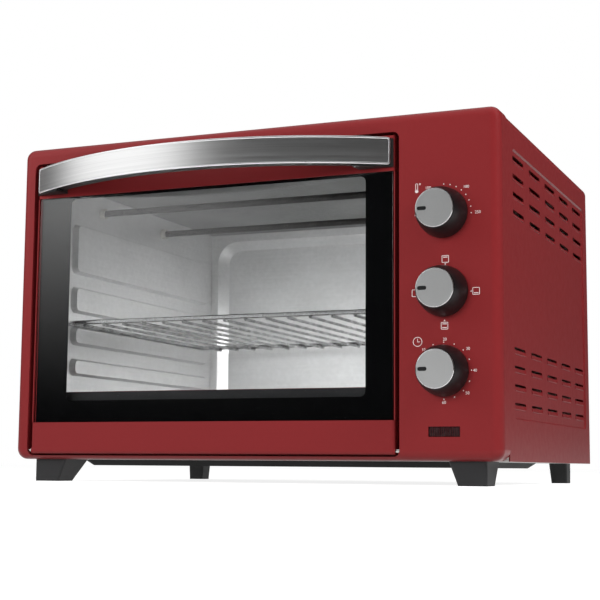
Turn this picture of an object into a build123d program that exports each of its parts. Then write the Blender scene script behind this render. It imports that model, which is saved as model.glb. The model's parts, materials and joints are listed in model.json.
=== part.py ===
from build123d import *
from math import asin, cos, degrees, radians, sin, sqrt
import os

# Free-standing electric table oven with a drop-down glass door on the left and three knobs on the right.
# X runs to the right as the user faces the oven, Y runs back into it, Z runs up from the table.
# The origin is the middle of the whole oven's footprint, at table height, in millimetres.

os.makedirs("parts", exist_ok=True)

# Case
body_width = 486.0
body_height = 307.0
body_depth = 382.0
foot_height = 21.0
case_sheet = 1.0
case_corner = 10.0
face_rounding = 9.0
flange_depth = 26.0
seam_gap = 0.8
cover_step_in = 0.6
cover_lip_overlap = 6.0
rear_lip = 12.0
fit_gap = 0.3
seat_gap = 0.1

# Door and the recess it closes into
control_strip = 91.1
door_left_margin = 14.5
door_gap = 4.2
recess_bottom_margin = 3.5
recess_top_margin = 16.5
recess_depth = 16.0
recess_corner = 6.0
door_thickness = 14.5
door_top_gap = 2.2
door_bottom_gap = 1.6
top_rail_height = 33.0
bottom_rail_height = 30.0
door_sheet = 1.0
door_rounding = 3.0
glass_thickness = 4.0
glass_seat_gap = 0.2
glass_edge_gap = 1.0
glass_edge_chamfer = 0.5
glass_under_rail = 7.0
clip_length = 24.0
clip_rise = 6.0

# Hinge pins and the curved stay arms that hold the open door
hinge_height = 8.5
hinge_setback = 4.0
pin_radius = 2.0
pin_running_gap = 0.06
pin_length = 15.0
pin_head_radius = 2.8
pin_head_thickness = 1.6
pin_boss_radius = 3.4
pin_boss_length = 7.0
stay_radius = 70.0
stay_width = 7.0
stay_thickness = 3.0
stay_slot_gap = 1.2
stay_inset = 9.5
stay_hook_rise = 3.5
stay_hook_thickness = 3.0
stay_floor_gap = 0.8
stay_plate_below = 10.0
stay_plate_above = 8.0

# Handle
handle_height = 25.0
handle_end_inset = 0.8
handle_end_standoff = 4.0
handle_bow = 53.0
handle_top_margin = 3.3
band_thickness = 1.0
trim_width = 1.8
trim_thickness = 1.6
trim_end_inset = 1.6
grip_thickness = 12.0
grip_edge_inset = 0.6
grip_post_length = 33.0
grip_post_drop = 1.5
handle_screw_radius = 2.0
handle_screw_head_radius = 4.0
handle_screw_head = 2.4
handle_screw_length = 9.0
handle_screw_rise = 3.0

# Cooking space
cavity_left_inset = 22.5
cavity_right_inset = 23.9
cavity_floor_height = 41.0
cavity_top_margin = 34.0
cavity_rear_margin = 32.0
mouth_lip_height = 24.0
mouth_top_lip = 4.0
cavity_sheet = 0.8
panel_rise = 6.0
panel_slope = 20.0
panel_front_margin = 20.0
panel_rear_margin = 16.0
panel_corner = 7.0
lowest_panel_rise = 42.0
panel_heights = (17.0, 18.6, 26.5)
channel_heights = (13.6, 13.8, 13.0)
top_panel_margin = 37.0
back_recess = 12.0
back_recess_slope = 38.0
back_recess_margin = 8.0
back_recess_corner = 26.0

# Heating tubes
heater_radius = 3.3
heater_wall_gap = 18.0
heater_floor_gap = 14.0
heater_front_setback = 92.0
heater_rear_margin = 158.0
heater_stud_radius = 1.6
heater_stud_length = 12.0
bush_radius = 5.5
bush_neck_radius = 4.5
bush_inside = 5.0
bush_outside = 7.0
hole_clearance = 0.15
thread_clearance = 0.02

# Wire rack
rack_wire_radius = 2.2
cross_wire_radius = 1.4
cross_wire_count = 14
wire_weld_depth = 0.4
rack_side_gap = 1.4
rack_front_setback = 22.0
rack_rear_gap = 22.0
rack_corner = 12.0
rack_rest_gap = 0.3
rack_level = 1

# Controls
control_inset = 51.0
knob_middle_rise = 145.7
knob_pitch = 68.7
knob_base_radius = 22.2
knob_tip_radius = 17.3
knob_depth = 24.5
knob_panel_gap = 0.6
knob_wall = 2.4
knob_boss_radius = 6.0
cap_radius = 16.7
cap_thickness = 1.5
cap_edge = 0.4
pointer_length = 8.0
pointer_width = 3.2
pointer_margin = 1.6
pointer_sink = 0.2
shaft_radius = 3.0
shaft_running_gap = 0.06
shaft_tail = 9.0
shaft_knob_insert = 12.0
shaft_flat = 0.8
knob_rim = 2.0
knob_bulge = 1.0
knob_edge = 0.8
knob_boss_setback = 6.2
bushing_radius = 4.8
bushing_length = 6.5
nut_width = 13.0
nut_thickness = 2.4
control_bodies = {
    "thermostat": (36.0, 32.0, 20.0),
    "function": (42.0, 42.0, 26.0),
    "timer": (52.0, 46.0, 30.0),
}
control_corner = 3.0
bell_radius = 22.0
bell_wall = 1.2
bell_depth = 10.0
bell_gap = 1.2
bell_post_radius = 2.5
bell_rounding = 6.0

# Pilot lamp
pilot_width = 28.2
pilot_height = 8.8
pilot_rise = 25.0
pilot_flange = 2.5
pilot_flange_thickness = 1.4
pilot_depth = 6.0
pilot_sink = 0.5
lamp_radius = 3.0
lamp_length = 16.0
lamp_rounding = 1.35

# Side vents and their pressed fields
vent_length = 44.0
vent_height = 6.2
vent_pitch_z = 16.35
vent_columns = 5
vent_rows = 4
vent_front_setback = 72.0
vent_rear_margin = 46.0
vent_top_margin = 37.2
vent_low_rise = 48.6
field_depth = 1.5
field_slope = 40.0
field_front_setback = 46.0
field_rear_margin = 18.0
field_low_rise = 36.0
field_top_margin = 28.0
field_corner = 6.0

# Rear plate, base and underside
rear_vent_length = 40.0
rear_vent_height = 5.0
rear_vent_pitch = 12.0
rear_vent_rows = 6
rear_vent_columns = 3
rear_vent_spacing = 60.0
rear_vent_upper_margin = 75.0
rear_vent_lower_drop = 30.0
rear_vent_top_margin = 28.0
top_vent_rows = 2
base_vent_setback = 210.0
screw_radius = 1.8
screw_head_radius = 3.6
screw_head = 2.0
screw_length = 7.0
screw_head_rounding = 0.6
rear_screw_inset = 39.0
rear_screw_rise = 80.0
base_flange = 9.0
pan_depth = 5.5
pan_left_margin = 40.0
pan_right_margin = 42.0
pan_front_setback = 58.0
pan_rear_margin = 70.0
pan_sheet = 0.8
pan_slope = 58.0
shield_gap = 22.0
shield_sheet = 0.8
shield_slot_length = 22.0
shield_slot_height = 6.0
shield_slot_pitch = 30.0
shield_slot_count = 7
shield_slot_margin = 10.0
gland_radius = 8.0
gland_bore = 3.6
gland_out = 9.0
gland_in = 8.0
gland_flange_radius = 11.0
gland_flange_thickness = 2.5
gland_rounding = 1.5
gland_offset = 10.0
gland_rise = 31.0
terminal_size = (36.0, 20.0, 16.0)
terminal_setback = 60.0
terminal_corner = 1.5
terminal_hole_radius = 2.4
terminal_hole_depth = 4.0
terminal_ways = 3

# Feet
foot_length_x = 34.0
foot_length_y = 42.0
foot_side_inset = 17.0
foot_front_setback = 12.0
foot_lean_x = 8.0
foot_lean_y = 15.0
rear_foot_length_x = 19.0
rear_foot_length_y = 21.0
rear_foot_margin = 26.0
rear_foot_lean = 2.0
foot_corner = 2.0
foot_screw_depth = 9.0
foot_screw_room = 1.0

# Places worked out from the sizes above
half_width = body_width / 2
handle_reach = handle_end_standoff + handle_bow
front_y = (handle_reach - body_depth - gland_out) / 2
rear_y = front_y + body_depth
body_top = foot_height + body_height
body_mid_z = foot_height + body_height / 2

recess_left = -half_width + door_left_margin
recess_right = half_width - control_strip
recess_mid_x = (recess_left + recess_right) / 2
recess_low = foot_height + recess_bottom_margin
recess_high = body_top - recess_top_margin
recess_mid_z = (recess_low + recess_high) / 2
hinge_z = foot_height + hinge_height
hinge_y = front_y + hinge_setback
door_left = recess_left + door_gap
door_right = recess_right - door_gap
door_mid_x = (door_left + door_right) / 2
door_low = recess_low + door_bottom_gap
door_high = recess_high - door_top_gap
recess_floor_y = front_y + recess_depth
mouth_y = recess_floor_y + case_sheet

cavity_left = recess_left + cavity_left_inset
cavity_right = recess_right - cavity_right_inset
cavity_width = cavity_right - cavity_left
cavity_mid_x = (cavity_left + cavity_right) / 2
cavity_low = foot_height + cavity_floor_height
cavity_high = body_top - cavity_top_margin
cavity_height = cavity_high - cavity_low
cavity_mid_z = (cavity_low + cavity_high) / 2
cavity_back = rear_y - cavity_rear_margin
control_x = half_width - control_inset
knob_middle_z = foot_height + knob_middle_rise
knob_heights = {
    "thermostat": knob_middle_z + knob_pitch,
    "function": knob_middle_z,
    "timer": knob_middle_z - knob_pitch,
}
pilot_level = foot_height + pilot_rise
shield_x = cavity_right + shield_gap


def facing(y):
    """Plane square to Y at the given depth, with X to the right and Z up; a negative extrusion runs back."""
    return Plane.XZ.offset(-y)


def sideways(x):
    """Plane square to X at the given place, with Y to the right and Z up."""
    return Plane.YZ.offset(x)


def level(z):
    """Plane square to Z at the given height."""
    return Plane.XY.offset(z)


def box_between(low, high, mode=Mode.ADD):
    """A box from its low corner to its high corner, added to the part being built."""
    middle = [(a + b) / 2 for a, b in zip(low, high)]
    size = [b - a for a, b in zip(low, high)]
    with Locations(tuple(middle)):
        Box(*size, mode=mode)


def save(solid, name):
    """Label one finished piece and write it under its own name."""
    solid.label = name
    export_step(solid, f"parts/{name}.step")


# Front frame: one pressed sheet with the door recess, the control face and a flange running back
with BuildPart() as frame_hollow:
    with BuildSketch(facing(front_y + case_sheet)):
        with Locations((0, body_mid_z)):
            RectangleRounded(
                body_width - 2 * case_sheet,
                body_height - 2 * case_sheet,
                case_corner - case_sheet,
            )
    extrude(amount=-flange_depth)
    fillet(frame_hollow.faces().sort_by(Axis.Y)[0].edges(), face_rounding - case_sheet)
    with BuildSketch(facing(front_y)):
        with Locations((recess_mid_x, recess_mid_z)):
            RectangleRounded(
                recess_right - recess_left + 2 * case_sheet,
                recess_high - recess_low + 2 * case_sheet,
                recess_corner + case_sheet,
            )
    extrude(amount=-(recess_depth + case_sheet), mode=Mode.SUBTRACT)

with BuildPart() as front_frame:
    with BuildSketch(facing(front_y)):
        with Locations((0, body_mid_z)):
            RectangleRounded(body_width, body_height, case_corner)
    extrude(amount=-flange_depth)
    fillet(front_frame.faces().sort_by(Axis.Y)[0].edges(), face_rounding)
    with BuildSketch(facing(front_y)):
        with Locations((recess_mid_x, recess_mid_z)):
            RectangleRounded(recess_right - recess_left, recess_high - recess_low, recess_corner)
    extrude(amount=-recess_depth, mode=Mode.SUBTRACT)
    add(frame_hollow.part, mode=Mode.SUBTRACT)
    # Mouth of the cooking space
    box_between(
        (cavity_left, recess_floor_y - 1, cavity_low + mouth_lip_height),
        (cavity_right, mouth_y + 1, cavity_high - mouth_top_lip),
        mode=Mode.SUBTRACT,
    )
    # Bores for the three controls
    with Locations(*[Location((control_x, front_y, z), (90, 0, 0)) for z in knob_heights.values()]):
        Cylinder(bushing_radius + hole_clearance, 4 * case_sheet, mode=Mode.SUBTRACT)
    # Window of the pilot lamp
    box_between(
        (control_x - pilot_width / 2, front_y - 1, pilot_level - pilot_height / 2),
        (control_x + pilot_width / 2, front_y + case_sheet + 1, pilot_level + pilot_height / 2),
        mode=Mode.SUBTRACT,
    )
    # Holes for the hinge pins in both side walls of the recess
    with Locations(*[Location((x, hinge_y, hinge_z), (0, 90, 0)) for x in (recess_left, recess_right)]):
        Cylinder(pin_radius + thread_clearance, 4 * case_sheet, mode=Mode.SUBTRACT)
    # Slots for the stay arms in the floor of the recess
    slot_low = sqrt((stay_radius - stay_width / 2) ** 2 - (mouth_y - hinge_y) ** 2) - stay_slot_gap
    slot_high = stay_radius + stay_width / 2 + stay_slot_gap
    for stay_x in (door_left + stay_inset, door_right - stay_inset):
        box_between(
            (stay_x - stay_thickness / 2 - stay_slot_gap, recess_floor_y - 1, hinge_z + slot_low),
            (stay_x + stay_thickness / 2 + stay_slot_gap, mouth_y + 1, hinge_z + slot_high),
            mode=Mode.SUBTRACT,
        )
save(front_frame.part, "front_frame")

# Outer cover: one sheet wrapped over the top and both sides, with vents in pressed fields
cover_front_y = front_y + flange_depth + seam_gap
cover_half = half_width - cover_step_in
cover_top = body_top - cover_step_in
cover_inner_half = cover_half - case_sheet
cover_inner_top = cover_top - case_sheet
rear_screw_spread = half_width - rear_screw_inset
rear_screw_places = [(x, cover_inner_top - rear_lip / 2) for x in (-rear_screw_spread, 0, rear_screw_spread)]
rear_screw_places += [
    (side * (cover_inner_half - rear_lip / 2), body_mid_z + step)
    for side in (-1, 1)
    for step in (-rear_screw_rise, rear_screw_rise)
]
vent_rows_z = [body_top - vent_top_margin - i * vent_pitch_z for i in range(vent_rows)]
vent_rows_z += [foot_height + vent_low_rise + i * vent_pitch_z for i in range(vent_rows)]
vent_pitch_y = (body_depth - vent_front_setback - vent_rear_margin) / (vent_columns - 1)
field_length = body_depth - field_front_setback - field_rear_margin
field_height = body_height - field_low_rise - field_top_margin
field_middle = (
    front_y + field_front_setback + field_length / 2,
    foot_height + field_low_rise + field_height / 2,
)

with BuildPart() as outer_cover:
    box_between((-cover_half, cover_front_y, foot_height), (cover_half, rear_y - case_sheet, cover_top))
    top_corners = outer_cover.edges().filter_by(Axis.Y).group_by(Axis.Z)[-1]
    fillet(top_corners, case_corner)
    open_faces = [outer_cover.faces().sort_by(Axis.Y)[0], outer_cover.faces().sort_by(Axis.Z)[0]]
    offset(amount=-case_sheet, openings=open_faces)
    # The rear edge turns inwards as a narrow lip
    box_between(
        (-cover_inner_half + rear_lip, rear_y - 3 * case_sheet, foot_height),
        (cover_inner_half - rear_lip, rear_y, cover_inner_top - rear_lip),
        mode=Mode.SUBTRACT,
    )
    # Pressed fields, sunk on the outside and standing proud on the inside
    for side in (-1, 1):
        with BuildSketch(sideways(side * cover_inner_half)):
            with Locations(field_middle):
                RectangleRounded(field_length, field_height, field_corner)
        extrude(amount=-side * field_depth)
        with BuildSketch(sideways(side * cover_half)):
            with Locations(field_middle):
                RectangleRounded(
                    field_length - 2 * case_sheet,
                    field_height - 2 * case_sheet,
                    field_corner - case_sheet,
                )
        extrude(amount=-side * field_depth, taper=field_slope, mode=Mode.SUBTRACT)
    # Vent slots, the same on both sides
    with BuildSketch(sideways(-half_width)):
        for row_z in vent_rows_z:
            for column in range(vent_columns):
                with Locations((front_y + vent_front_setback + column * vent_pitch_y, row_z)):
                    SlotOverall(vent_length, vent_height)
    extrude(amount=body_width, mode=Mode.SUBTRACT)

# A joggled lip carries the cover's front edge inside the frame's flange
with BuildPart() as cover_lip:
    box_between(
        (-cover_inner_half, cover_front_y - cover_lip_overlap, foot_height + case_corner),
        (cover_inner_half, cover_front_y + cover_lip_overlap, cover_inner_top),
    )
    fillet(cover_lip.edges().filter_by(Axis.Y).group_by(Axis.Z)[-1], case_corner - case_sheet)
    lip_ends = cover_lip.faces().filter_by(Axis.Y)
    offset(amount=-case_sheet, openings=lip_ends + [cover_lip.faces().sort_by(Axis.Z)[0]])

with BuildPart() as wrapped_cover:
    add(outer_cover.part)
    add(cover_lip.part)
    with Locations(*[Location((x, rear_y, z), (90, 0, 0)) for x, z in rear_screw_places]):
        Cylinder(screw_radius + thread_clearance, 6 * case_sheet, mode=Mode.SUBTRACT)
save(wrapped_cover.part, "outer_cover")

# Rear plate, screwed on to the cover's rear lip
rear_plate_half = cover_inner_half - fit_gap
rear_plate_low = foot_height + case_sheet + fit_gap
rear_plate_high = cover_inner_top - fit_gap
gland_x = control_x - gland_offset
gland_z = foot_height + gland_rise
with BuildPart() as rear_cover:
    box_between(
        (-rear_plate_half, rear_y - case_sheet, rear_plate_low),
        (rear_plate_half, rear_y, rear_plate_high),
    )
    fillet(rear_cover.edges().filter_by(Axis.Y).group_by(Axis.Z)[-1], case_corner - case_sheet - fit_gap)
    with BuildSketch(facing(rear_y)):
        with Locations(
            (cavity_mid_x, body_top - rear_vent_upper_margin),
            (cavity_mid_x, body_mid_z - rear_vent_lower_drop),
        ):
            with GridLocations(rear_vent_spacing, rear_vent_pitch, rear_vent_columns, rear_vent_rows):
                SlotOverall(rear_vent_length, rear_vent_height)
        with Locations((cavity_mid_x, body_top - rear_vent_top_margin)):
            with GridLocations(rear_vent_spacing, rear_vent_pitch, rear_vent_columns, top_vent_rows):
                SlotOverall(rear_vent_length, rear_vent_height)
        with Locations((gland_x, gland_z)):
            Circle(gland_radius + hole_clearance)
    extrude(amount=3 * case_sheet, both=True, mode=Mode.SUBTRACT)
with BuildPart() as rear_cover_drilled:
    add(rear_cover.part)
    with Locations(*[Location((x, rear_y, z), (90, 0, 0)) for x, z in rear_screw_places]):
        Cylinder(screw_radius + hole_clearance, 6 * case_sheet, mode=Mode.SUBTRACT)
save(rear_cover_drilled.part, "rear_cover")

with BuildPart() as rear_screws:
    with Locations(*[Location((x, rear_y + screw_head / 2, z), (90, 0, 0)) for x, z in rear_screw_places]):
        Cylinder(screw_head_radius, screw_head)
    fillet(rear_screws.faces().filter_by(Axis.Y).group_by(Axis.Y)[-1].edges(), screw_head_rounding)
    shank_mid_y = rear_y - screw_length / 2
    with Locations(*[Location((x, shank_mid_y, z), (90, 0, 0)) for x, z in rear_screw_places]):
        Cylinder(screw_radius, screw_length)
save(rear_screws.part, "rear_screws")

# Base plate: a shallow galvanised tray closing the bottom behind the front frame
base_front_y = front_y + flange_depth + fit_gap
base_rear_y = rear_y - 2 * case_sheet - fit_gap
base_half = cover_inner_half - fit_gap
foot_x = half_width - foot_side_inset - foot_length_x / 2
foot_y = front_y + foot_front_setback + foot_length_y / 2
rear_foot_x = half_width - foot_side_inset - rear_foot_length_x / 2
rear_foot_y = rear_y - rear_foot_margin - rear_foot_length_y / 2
front_foot = (foot_length_x, foot_length_y, foot_lean_x, foot_lean_y)
rear_foot = (rear_foot_length_x, rear_foot_length_y, rear_foot_lean, rear_foot_lean)
feet = {
    "foot_front_left": (-foot_x, foot_y, *front_foot),
    "foot_rear_left": (-rear_foot_x, rear_foot_y, *rear_foot),
    "foot_front_right": (foot_x, foot_y, *front_foot),
    "foot_rear_right": (rear_foot_x, rear_foot_y, *rear_foot),
}
foot_places = [(x, y) for x, y, *_ in feet.values()]
with BuildPart() as base_plate:
    box_between((-base_half, base_front_y, foot_height), (base_half, base_rear_y, foot_height + base_flange))
    offset(amount=-case_sheet, openings=base_plate.faces().sort_by(Axis.Z)[-1])
    # A tongue runs forward under the frame's flange, over the front feet
    box_between(
        (-base_half + case_corner, front_y + face_rounding, foot_height + case_sheet),
        (base_half - case_corner, base_front_y + 2 * case_sheet, foot_height + 2 * case_sheet),
    )
    with Locations(*[(x, y, foot_height) for x, y in foot_places]):
        Cylinder(screw_radius + hole_clearance, 8 * case_sheet, mode=Mode.SUBTRACT)
    with Locations((control_x, front_y + base_vent_setback, foot_height)):
        with GridLocations(0, rear_vent_pitch, 1, rear_vent_rows):
            Box(rear_vent_length, rear_vent_height, 4 * case_sheet, mode=Mode.SUBTRACT)
save(base_plate.part, "base_plate")

# Underside pan: a black pressed pan hanging below the cooking space
pan_left = -half_width + pan_left_margin
pan_right = half_width - pan_right_margin
pan_front_y = front_y + pan_front_setback
pan_rear_y = rear_y - pan_rear_margin
pan_middle = ((pan_left + pan_right) / 2, (pan_front_y + pan_rear_y) / 2)
pan_size_x = pan_right - pan_left
pan_size_y = pan_rear_y - pan_front_y
pan_wall = pan_sheet / cos(radians(pan_slope))
with BuildPart() as underside_pan:
    with BuildSketch(level(foot_height - seat_gap)):
        with Locations(pan_middle):
            RectangleRounded(pan_size_x, pan_size_y, 2 * pan_depth)
    extrude(amount=-pan_depth, taper=pan_slope)
    with BuildSketch(level(foot_height - seat_gap)):
        with Locations(pan_middle):
            RectangleRounded(pan_size_x - 2 * pan_wall, pan_size_y - 2 * pan_wall, 2 * pan_depth - pan_wall)
    extrude(amount=-(pan_depth - pan_sheet), taper=pan_slope, mode=Mode.SUBTRACT)
save(underside_pan.part, "underside_pan")

# Feet: black plastic blocks that lean in towards the bottom on their two inner sides, smaller at the rear
for foot_name, (x, y, length_x, length_y, lean_x, lean_y) in feet.items():
    out_x = 1 if x > 0 else -1
    out_y = 1 if y > 0 else -1
    with BuildPart() as foot:
        with BuildSketch(level(foot_height)):
            with Locations((x, y)):
                RectangleRounded(length_x, length_y, foot_corner)
        with BuildSketch(level(0)):
            with Locations((x + out_x * lean_x / 2, y + out_y * lean_y / 2)):
                RectangleRounded(length_x - lean_x, length_y - lean_y, foot_corner)
        loft()
        with Locations((x, y, foot_height - foot_screw_depth / 2)):
            Cylinder(screw_radius, foot_screw_depth, mode=Mode.SUBTRACT)
    save(foot.part, foot_name)

with BuildPart() as foot_screws:
    shank_top = foot_height + 2 * case_sheet
    shank_low = foot_height - foot_screw_depth + foot_screw_room
    with Locations(*[(x, y, (shank_top + shank_low) / 2) for x, y in foot_places]):
        Cylinder(screw_radius - thread_clearance, shank_top - shank_low)
    with Locations(*[(x, y, shank_top + screw_head / 2) for x, y in foot_places]):
        Cylinder(screw_head_radius, screw_head)
save(foot_screws.part, "foot_screws")

# Side walls of the cooking space, with raised panels that leave channels for the rack between them
heater_high_z = cavity_high - heater_wall_gap
heater_low_z = cavity_low + heater_floor_gap
heater_places = {
    "upper_front_heater": (front_y + heater_front_setback, heater_high_z),
    "upper_rear_heater": (rear_y - heater_rear_margin, heater_high_z),
    "lower_front_heater": (front_y + heater_front_setback, heater_low_z),
    "lower_rear_heater": (rear_y - heater_rear_margin, heater_low_z),
}
panel_levels = []
next_panel_low = cavity_low + lowest_panel_rise
for panel_height, channel_height in zip(panel_heights, channel_heights):
    panel_levels.append((next_panel_low, next_panel_low + panel_height))
    next_panel_low += panel_height + channel_height
panel_levels.append((next_panel_low, cavity_high - top_panel_margin))
panel_front_y = mouth_y + panel_front_margin
panel_rear_y = cavity_back - panel_rear_margin
wall_low = cavity_low - cavity_sheet
wall_high = cavity_high + cavity_sheet
side_walls = (("cavity_left_wall", cavity_left, 1), ("cavity_right_wall", cavity_right, -1))
for wall_name, wall_x, inward in side_walls:
    with BuildPart() as side_wall:
        wall_sides = sorted((wall_x, wall_x - inward * cavity_sheet))
        box_between((wall_sides[0], mouth_y, wall_low), (wall_sides[1], cavity_back, wall_high))
        for panel_low, panel_high in panel_levels:
            panel_mid = ((panel_front_y + panel_rear_y) / 2, (panel_low + panel_high) / 2)
            panel_size = (panel_rear_y - panel_front_y, panel_high - panel_low)
            with BuildSketch(sideways(wall_x)):
                with Locations(panel_mid):
                    RectangleRounded(*panel_size, panel_corner)
            extrude(amount=inward * panel_rise, taper=panel_slope)
        for panel_low, panel_high in panel_levels:
            panel_mid = ((panel_front_y + panel_rear_y) / 2, (panel_low + panel_high) / 2)
            panel_size = (panel_rear_y - panel_front_y, panel_high - panel_low)
            with BuildSketch(sideways(wall_x - inward * cavity_sheet)):
                with Locations(panel_mid):
                    RectangleRounded(
                        panel_size[0] - 2 * cavity_sheet,
                        panel_size[1] - 2 * cavity_sheet,
                        panel_corner - cavity_sheet,
                    )
            extrude(amount=inward * panel_rise, taper=panel_slope, mode=Mode.SUBTRACT)
        with Locations(*[Location((wall_x, y, z), (0, 90, 0)) for y, z in heater_places.values()]):
            Cylinder(bush_neck_radius + hole_clearance, 6 * cavity_sheet, mode=Mode.SUBTRACT)
    save(side_wall.part, wall_name)

# Ceiling, floor and back of the cooking space
with BuildPart() as cavity_ceiling:
    box_between((cavity_left, mouth_y, cavity_high), (cavity_right, cavity_back, cavity_high + cavity_sheet))
save(cavity_ceiling.part, "cavity_ceiling")

with BuildPart() as cavity_floor:
    box_between((cavity_left, mouth_y, cavity_low - cavity_sheet), (cavity_right, cavity_back, cavity_low))
save(cavity_floor.part, "cavity_floor")

with BuildPart() as cavity_back_wall:
    box_between(
        (cavity_left - cavity_sheet, cavity_back, wall_low),
        (cavity_right + cavity_sheet, cavity_back + cavity_sheet, wall_high),
    )
    recess_size = (cavity_width - 2 * back_recess_margin, cavity_height - 2 * back_recess_margin)
    with BuildSketch(facing(cavity_back + cavity_sheet)):
        with Locations((cavity_mid_x, cavity_mid_z)):
            RectangleRounded(*recess_size, back_recess_corner)
    extrude(amount=-back_recess, taper=back_recess_slope)
    with BuildSketch(facing(cavity_back)):
        with Locations((cavity_mid_x, cavity_mid_z)):
            RectangleRounded(
                recess_size[0] - 2 * cavity_sheet,
                recess_size[1] - 2 * cavity_sheet,
                back_recess_corner - cavity_sheet,
            )
    extrude(amount=-back_recess, taper=back_recess_slope, mode=Mode.SUBTRACT)
save(cavity_back_wall.part, "cavity_back_wall")

# Heating tubes through both side walls, each with a ceramic bush and a stud at either end
bush_left = cavity_left - cavity_sheet - bush_outside
bush_right = cavity_right + cavity_sheet + bush_outside
for heater_name, (heater_y, heater_z) in heater_places.items():
    with BuildPart() as heater:
        with Locations(Location((cavity_mid_x, heater_y, heater_z), (0, 90, 0))):
            Cylinder(heater_radius, bush_right - bush_left)
            Cylinder(heater_stud_radius, bush_right - bush_left + 2 * heater_stud_length)
    save(heater.part, heater_name)

with BuildPart() as heater_bushes:
    for heater_y, heater_z in heater_places.values():
        for wall_x, inward in ((cavity_left, 1), (cavity_right, -1)):
            flange_x = wall_x + inward * (bush_inside / 2 + hole_clearance)
            neck_length = cavity_sheet + bush_outside + bush_inside
            neck_x = wall_x + inward * (bush_inside - neck_length / 2)
            with Locations(Location((flange_x, heater_y, heater_z), (0, 90, 0))):
                Cylinder(bush_radius, bush_inside - 2 * hole_clearance)
            with Locations(Location((neck_x, heater_y, heater_z), (0, 90, 0))):
                Cylinder(bush_neck_radius, neck_length)
            with Locations(Location((neck_x, heater_y, heater_z), (0, 90, 0))):
                Cylinder(heater_radius + hole_clearance, 2 * neck_length, mode=Mode.SUBTRACT)
save(heater_bushes.part, "heater_bushes")

# Heat shield between the cooking space and the controls
with BuildPart() as heat_shield:
    box_between(
        (shield_x, cover_front_y + cover_lip_overlap + fit_gap, foot_height + case_sheet),
        (shield_x + shield_sheet, base_rear_y - case_sheet - fit_gap, cover_inner_top - fit_gap),
    )
    with BuildSketch(sideways(shield_x)):
        with Locations(
            (front_y + body_depth / 2, cavity_high - shield_slot_margin),
            (front_y + body_depth / 2, cavity_low + shield_slot_margin),
        ):
            with GridLocations(shield_slot_pitch, 0, shield_slot_count, 1):
                SlotOverall(shield_slot_length, shield_slot_height)
    extrude(amount=2 * shield_sheet, both=True, mode=Mode.SUBTRACT)
save(heat_shield.part, "heat_shield")

# Hinge pins, held in the recess walls and reaching into the bottom rail of the door
with BuildPart() as hinge_pins:
    for wall_x, outward in ((recess_left, -1), (recess_right, 1)):
        head_x = wall_x + outward * (case_sheet + seat_gap + pin_head_thickness / 2)
        shank_x = wall_x + outward * (case_sheet + seat_gap + pin_head_thickness - pin_length / 2)
        with Locations(Location((head_x, hinge_y, hinge_z), (0, 90, 0))):
            Cylinder(pin_head_radius, pin_head_thickness)
        with Locations(Location((shank_x, hinge_y, hinge_z), (0, 90, 0))):
            Cylinder(pin_radius, pin_length)
save(hinge_pins.part, "hinge_pins")

# Door rails: two folded channels with closed ends, above and below the glass
door_back_y = front_y + door_thickness
glass_front_y = front_y + door_sheet + glass_seat_gap
glass_back_y = glass_front_y + glass_thickness
top_rail_low = door_high - top_rail_height
bottom_rail_high = door_low + bottom_rail_height
handle_high = door_high - handle_top_margin
handle_low = handle_high - handle_height
handle_mid_z = (handle_low + handle_high) / 2
handle_left = door_left + handle_end_inset
handle_right = door_right - handle_end_inset
post_mid_left = handle_left + grip_post_length / 2
post_mid_right = handle_right - grip_post_length / 2
handle_screw_x = (post_mid_left, post_mid_right)
handle_screw_z = handle_mid_z + handle_screw_rise

with BuildPart() as door_top_rail:
    box_between((door_left, front_y, top_rail_low), (door_right, door_back_y, door_high))
    rail_front = door_top_rail.faces().sort_by(Axis.Y)[0].edges()
    fillet(rail_front.group_by(Axis.Z)[-1] + rail_front.filter_by(Axis.Z), door_rounding)
    rail_open = [door_top_rail.faces().sort_by(Axis.Y)[-1], door_top_rail.faces().sort_by(Axis.Z)[0]]
    offset(amount=-door_sheet, openings=rail_open)
    with Locations(*[Location((x, front_y, handle_screw_z), (90, 0, 0)) for x in handle_screw_x]):
        Cylinder(handle_screw_radius + hole_clearance, 4 * door_sheet, mode=Mode.SUBTRACT)
save(door_top_rail.part, "door_top_rail")

with BuildPart() as door_bottom_rail:
    box_between((door_left, front_y, door_low), (door_right, door_back_y, bottom_rail_high))
    rail_front = door_bottom_rail.faces().sort_by(Axis.Y)[0].edges()
    fillet(rail_front.group_by(Axis.Z)[0] + rail_front.filter_by(Axis.Z), door_rounding)
    rail_open = [door_bottom_rail.faces().sort_by(Axis.Y)[-1], door_bottom_rail.faces().sort_by(Axis.Z)[-1]]
    offset(amount=-door_sheet, openings=rail_open)
    # Bosses inside both ends take the hinge pins
    for end_x, inward in ((door_left, 1), (door_right, -1)):
        with Locations(Location((end_x + inward * pin_boss_length / 2, hinge_y, hinge_z), (0, 90, 0))):
            Cylinder(pin_boss_radius, pin_boss_length)
        with Locations(Location((end_x, hinge_y, hinge_z), (0, 90, 0))):
            Cylinder(pin_radius + pin_running_gap, 3 * pin_boss_length, mode=Mode.SUBTRACT)
save(door_bottom_rail.part, "door_bottom_rail")

# Door glass: one flat pane, tucked under both rails
glass_side_gap = door_sheet + glass_edge_gap
glass_low = bottom_rail_high - glass_under_rail
glass_high = top_rail_low + glass_under_rail
with BuildPart() as door_glass:
    box_between(
        (door_left + glass_side_gap, glass_front_y, glass_low),
        (door_right - glass_side_gap, glass_back_y, glass_high),
    )
    chamfer(door_glass.edges().filter_by(Axis.Z), glass_edge_chamfer)
save(door_glass.part, "door_glass")

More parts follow.
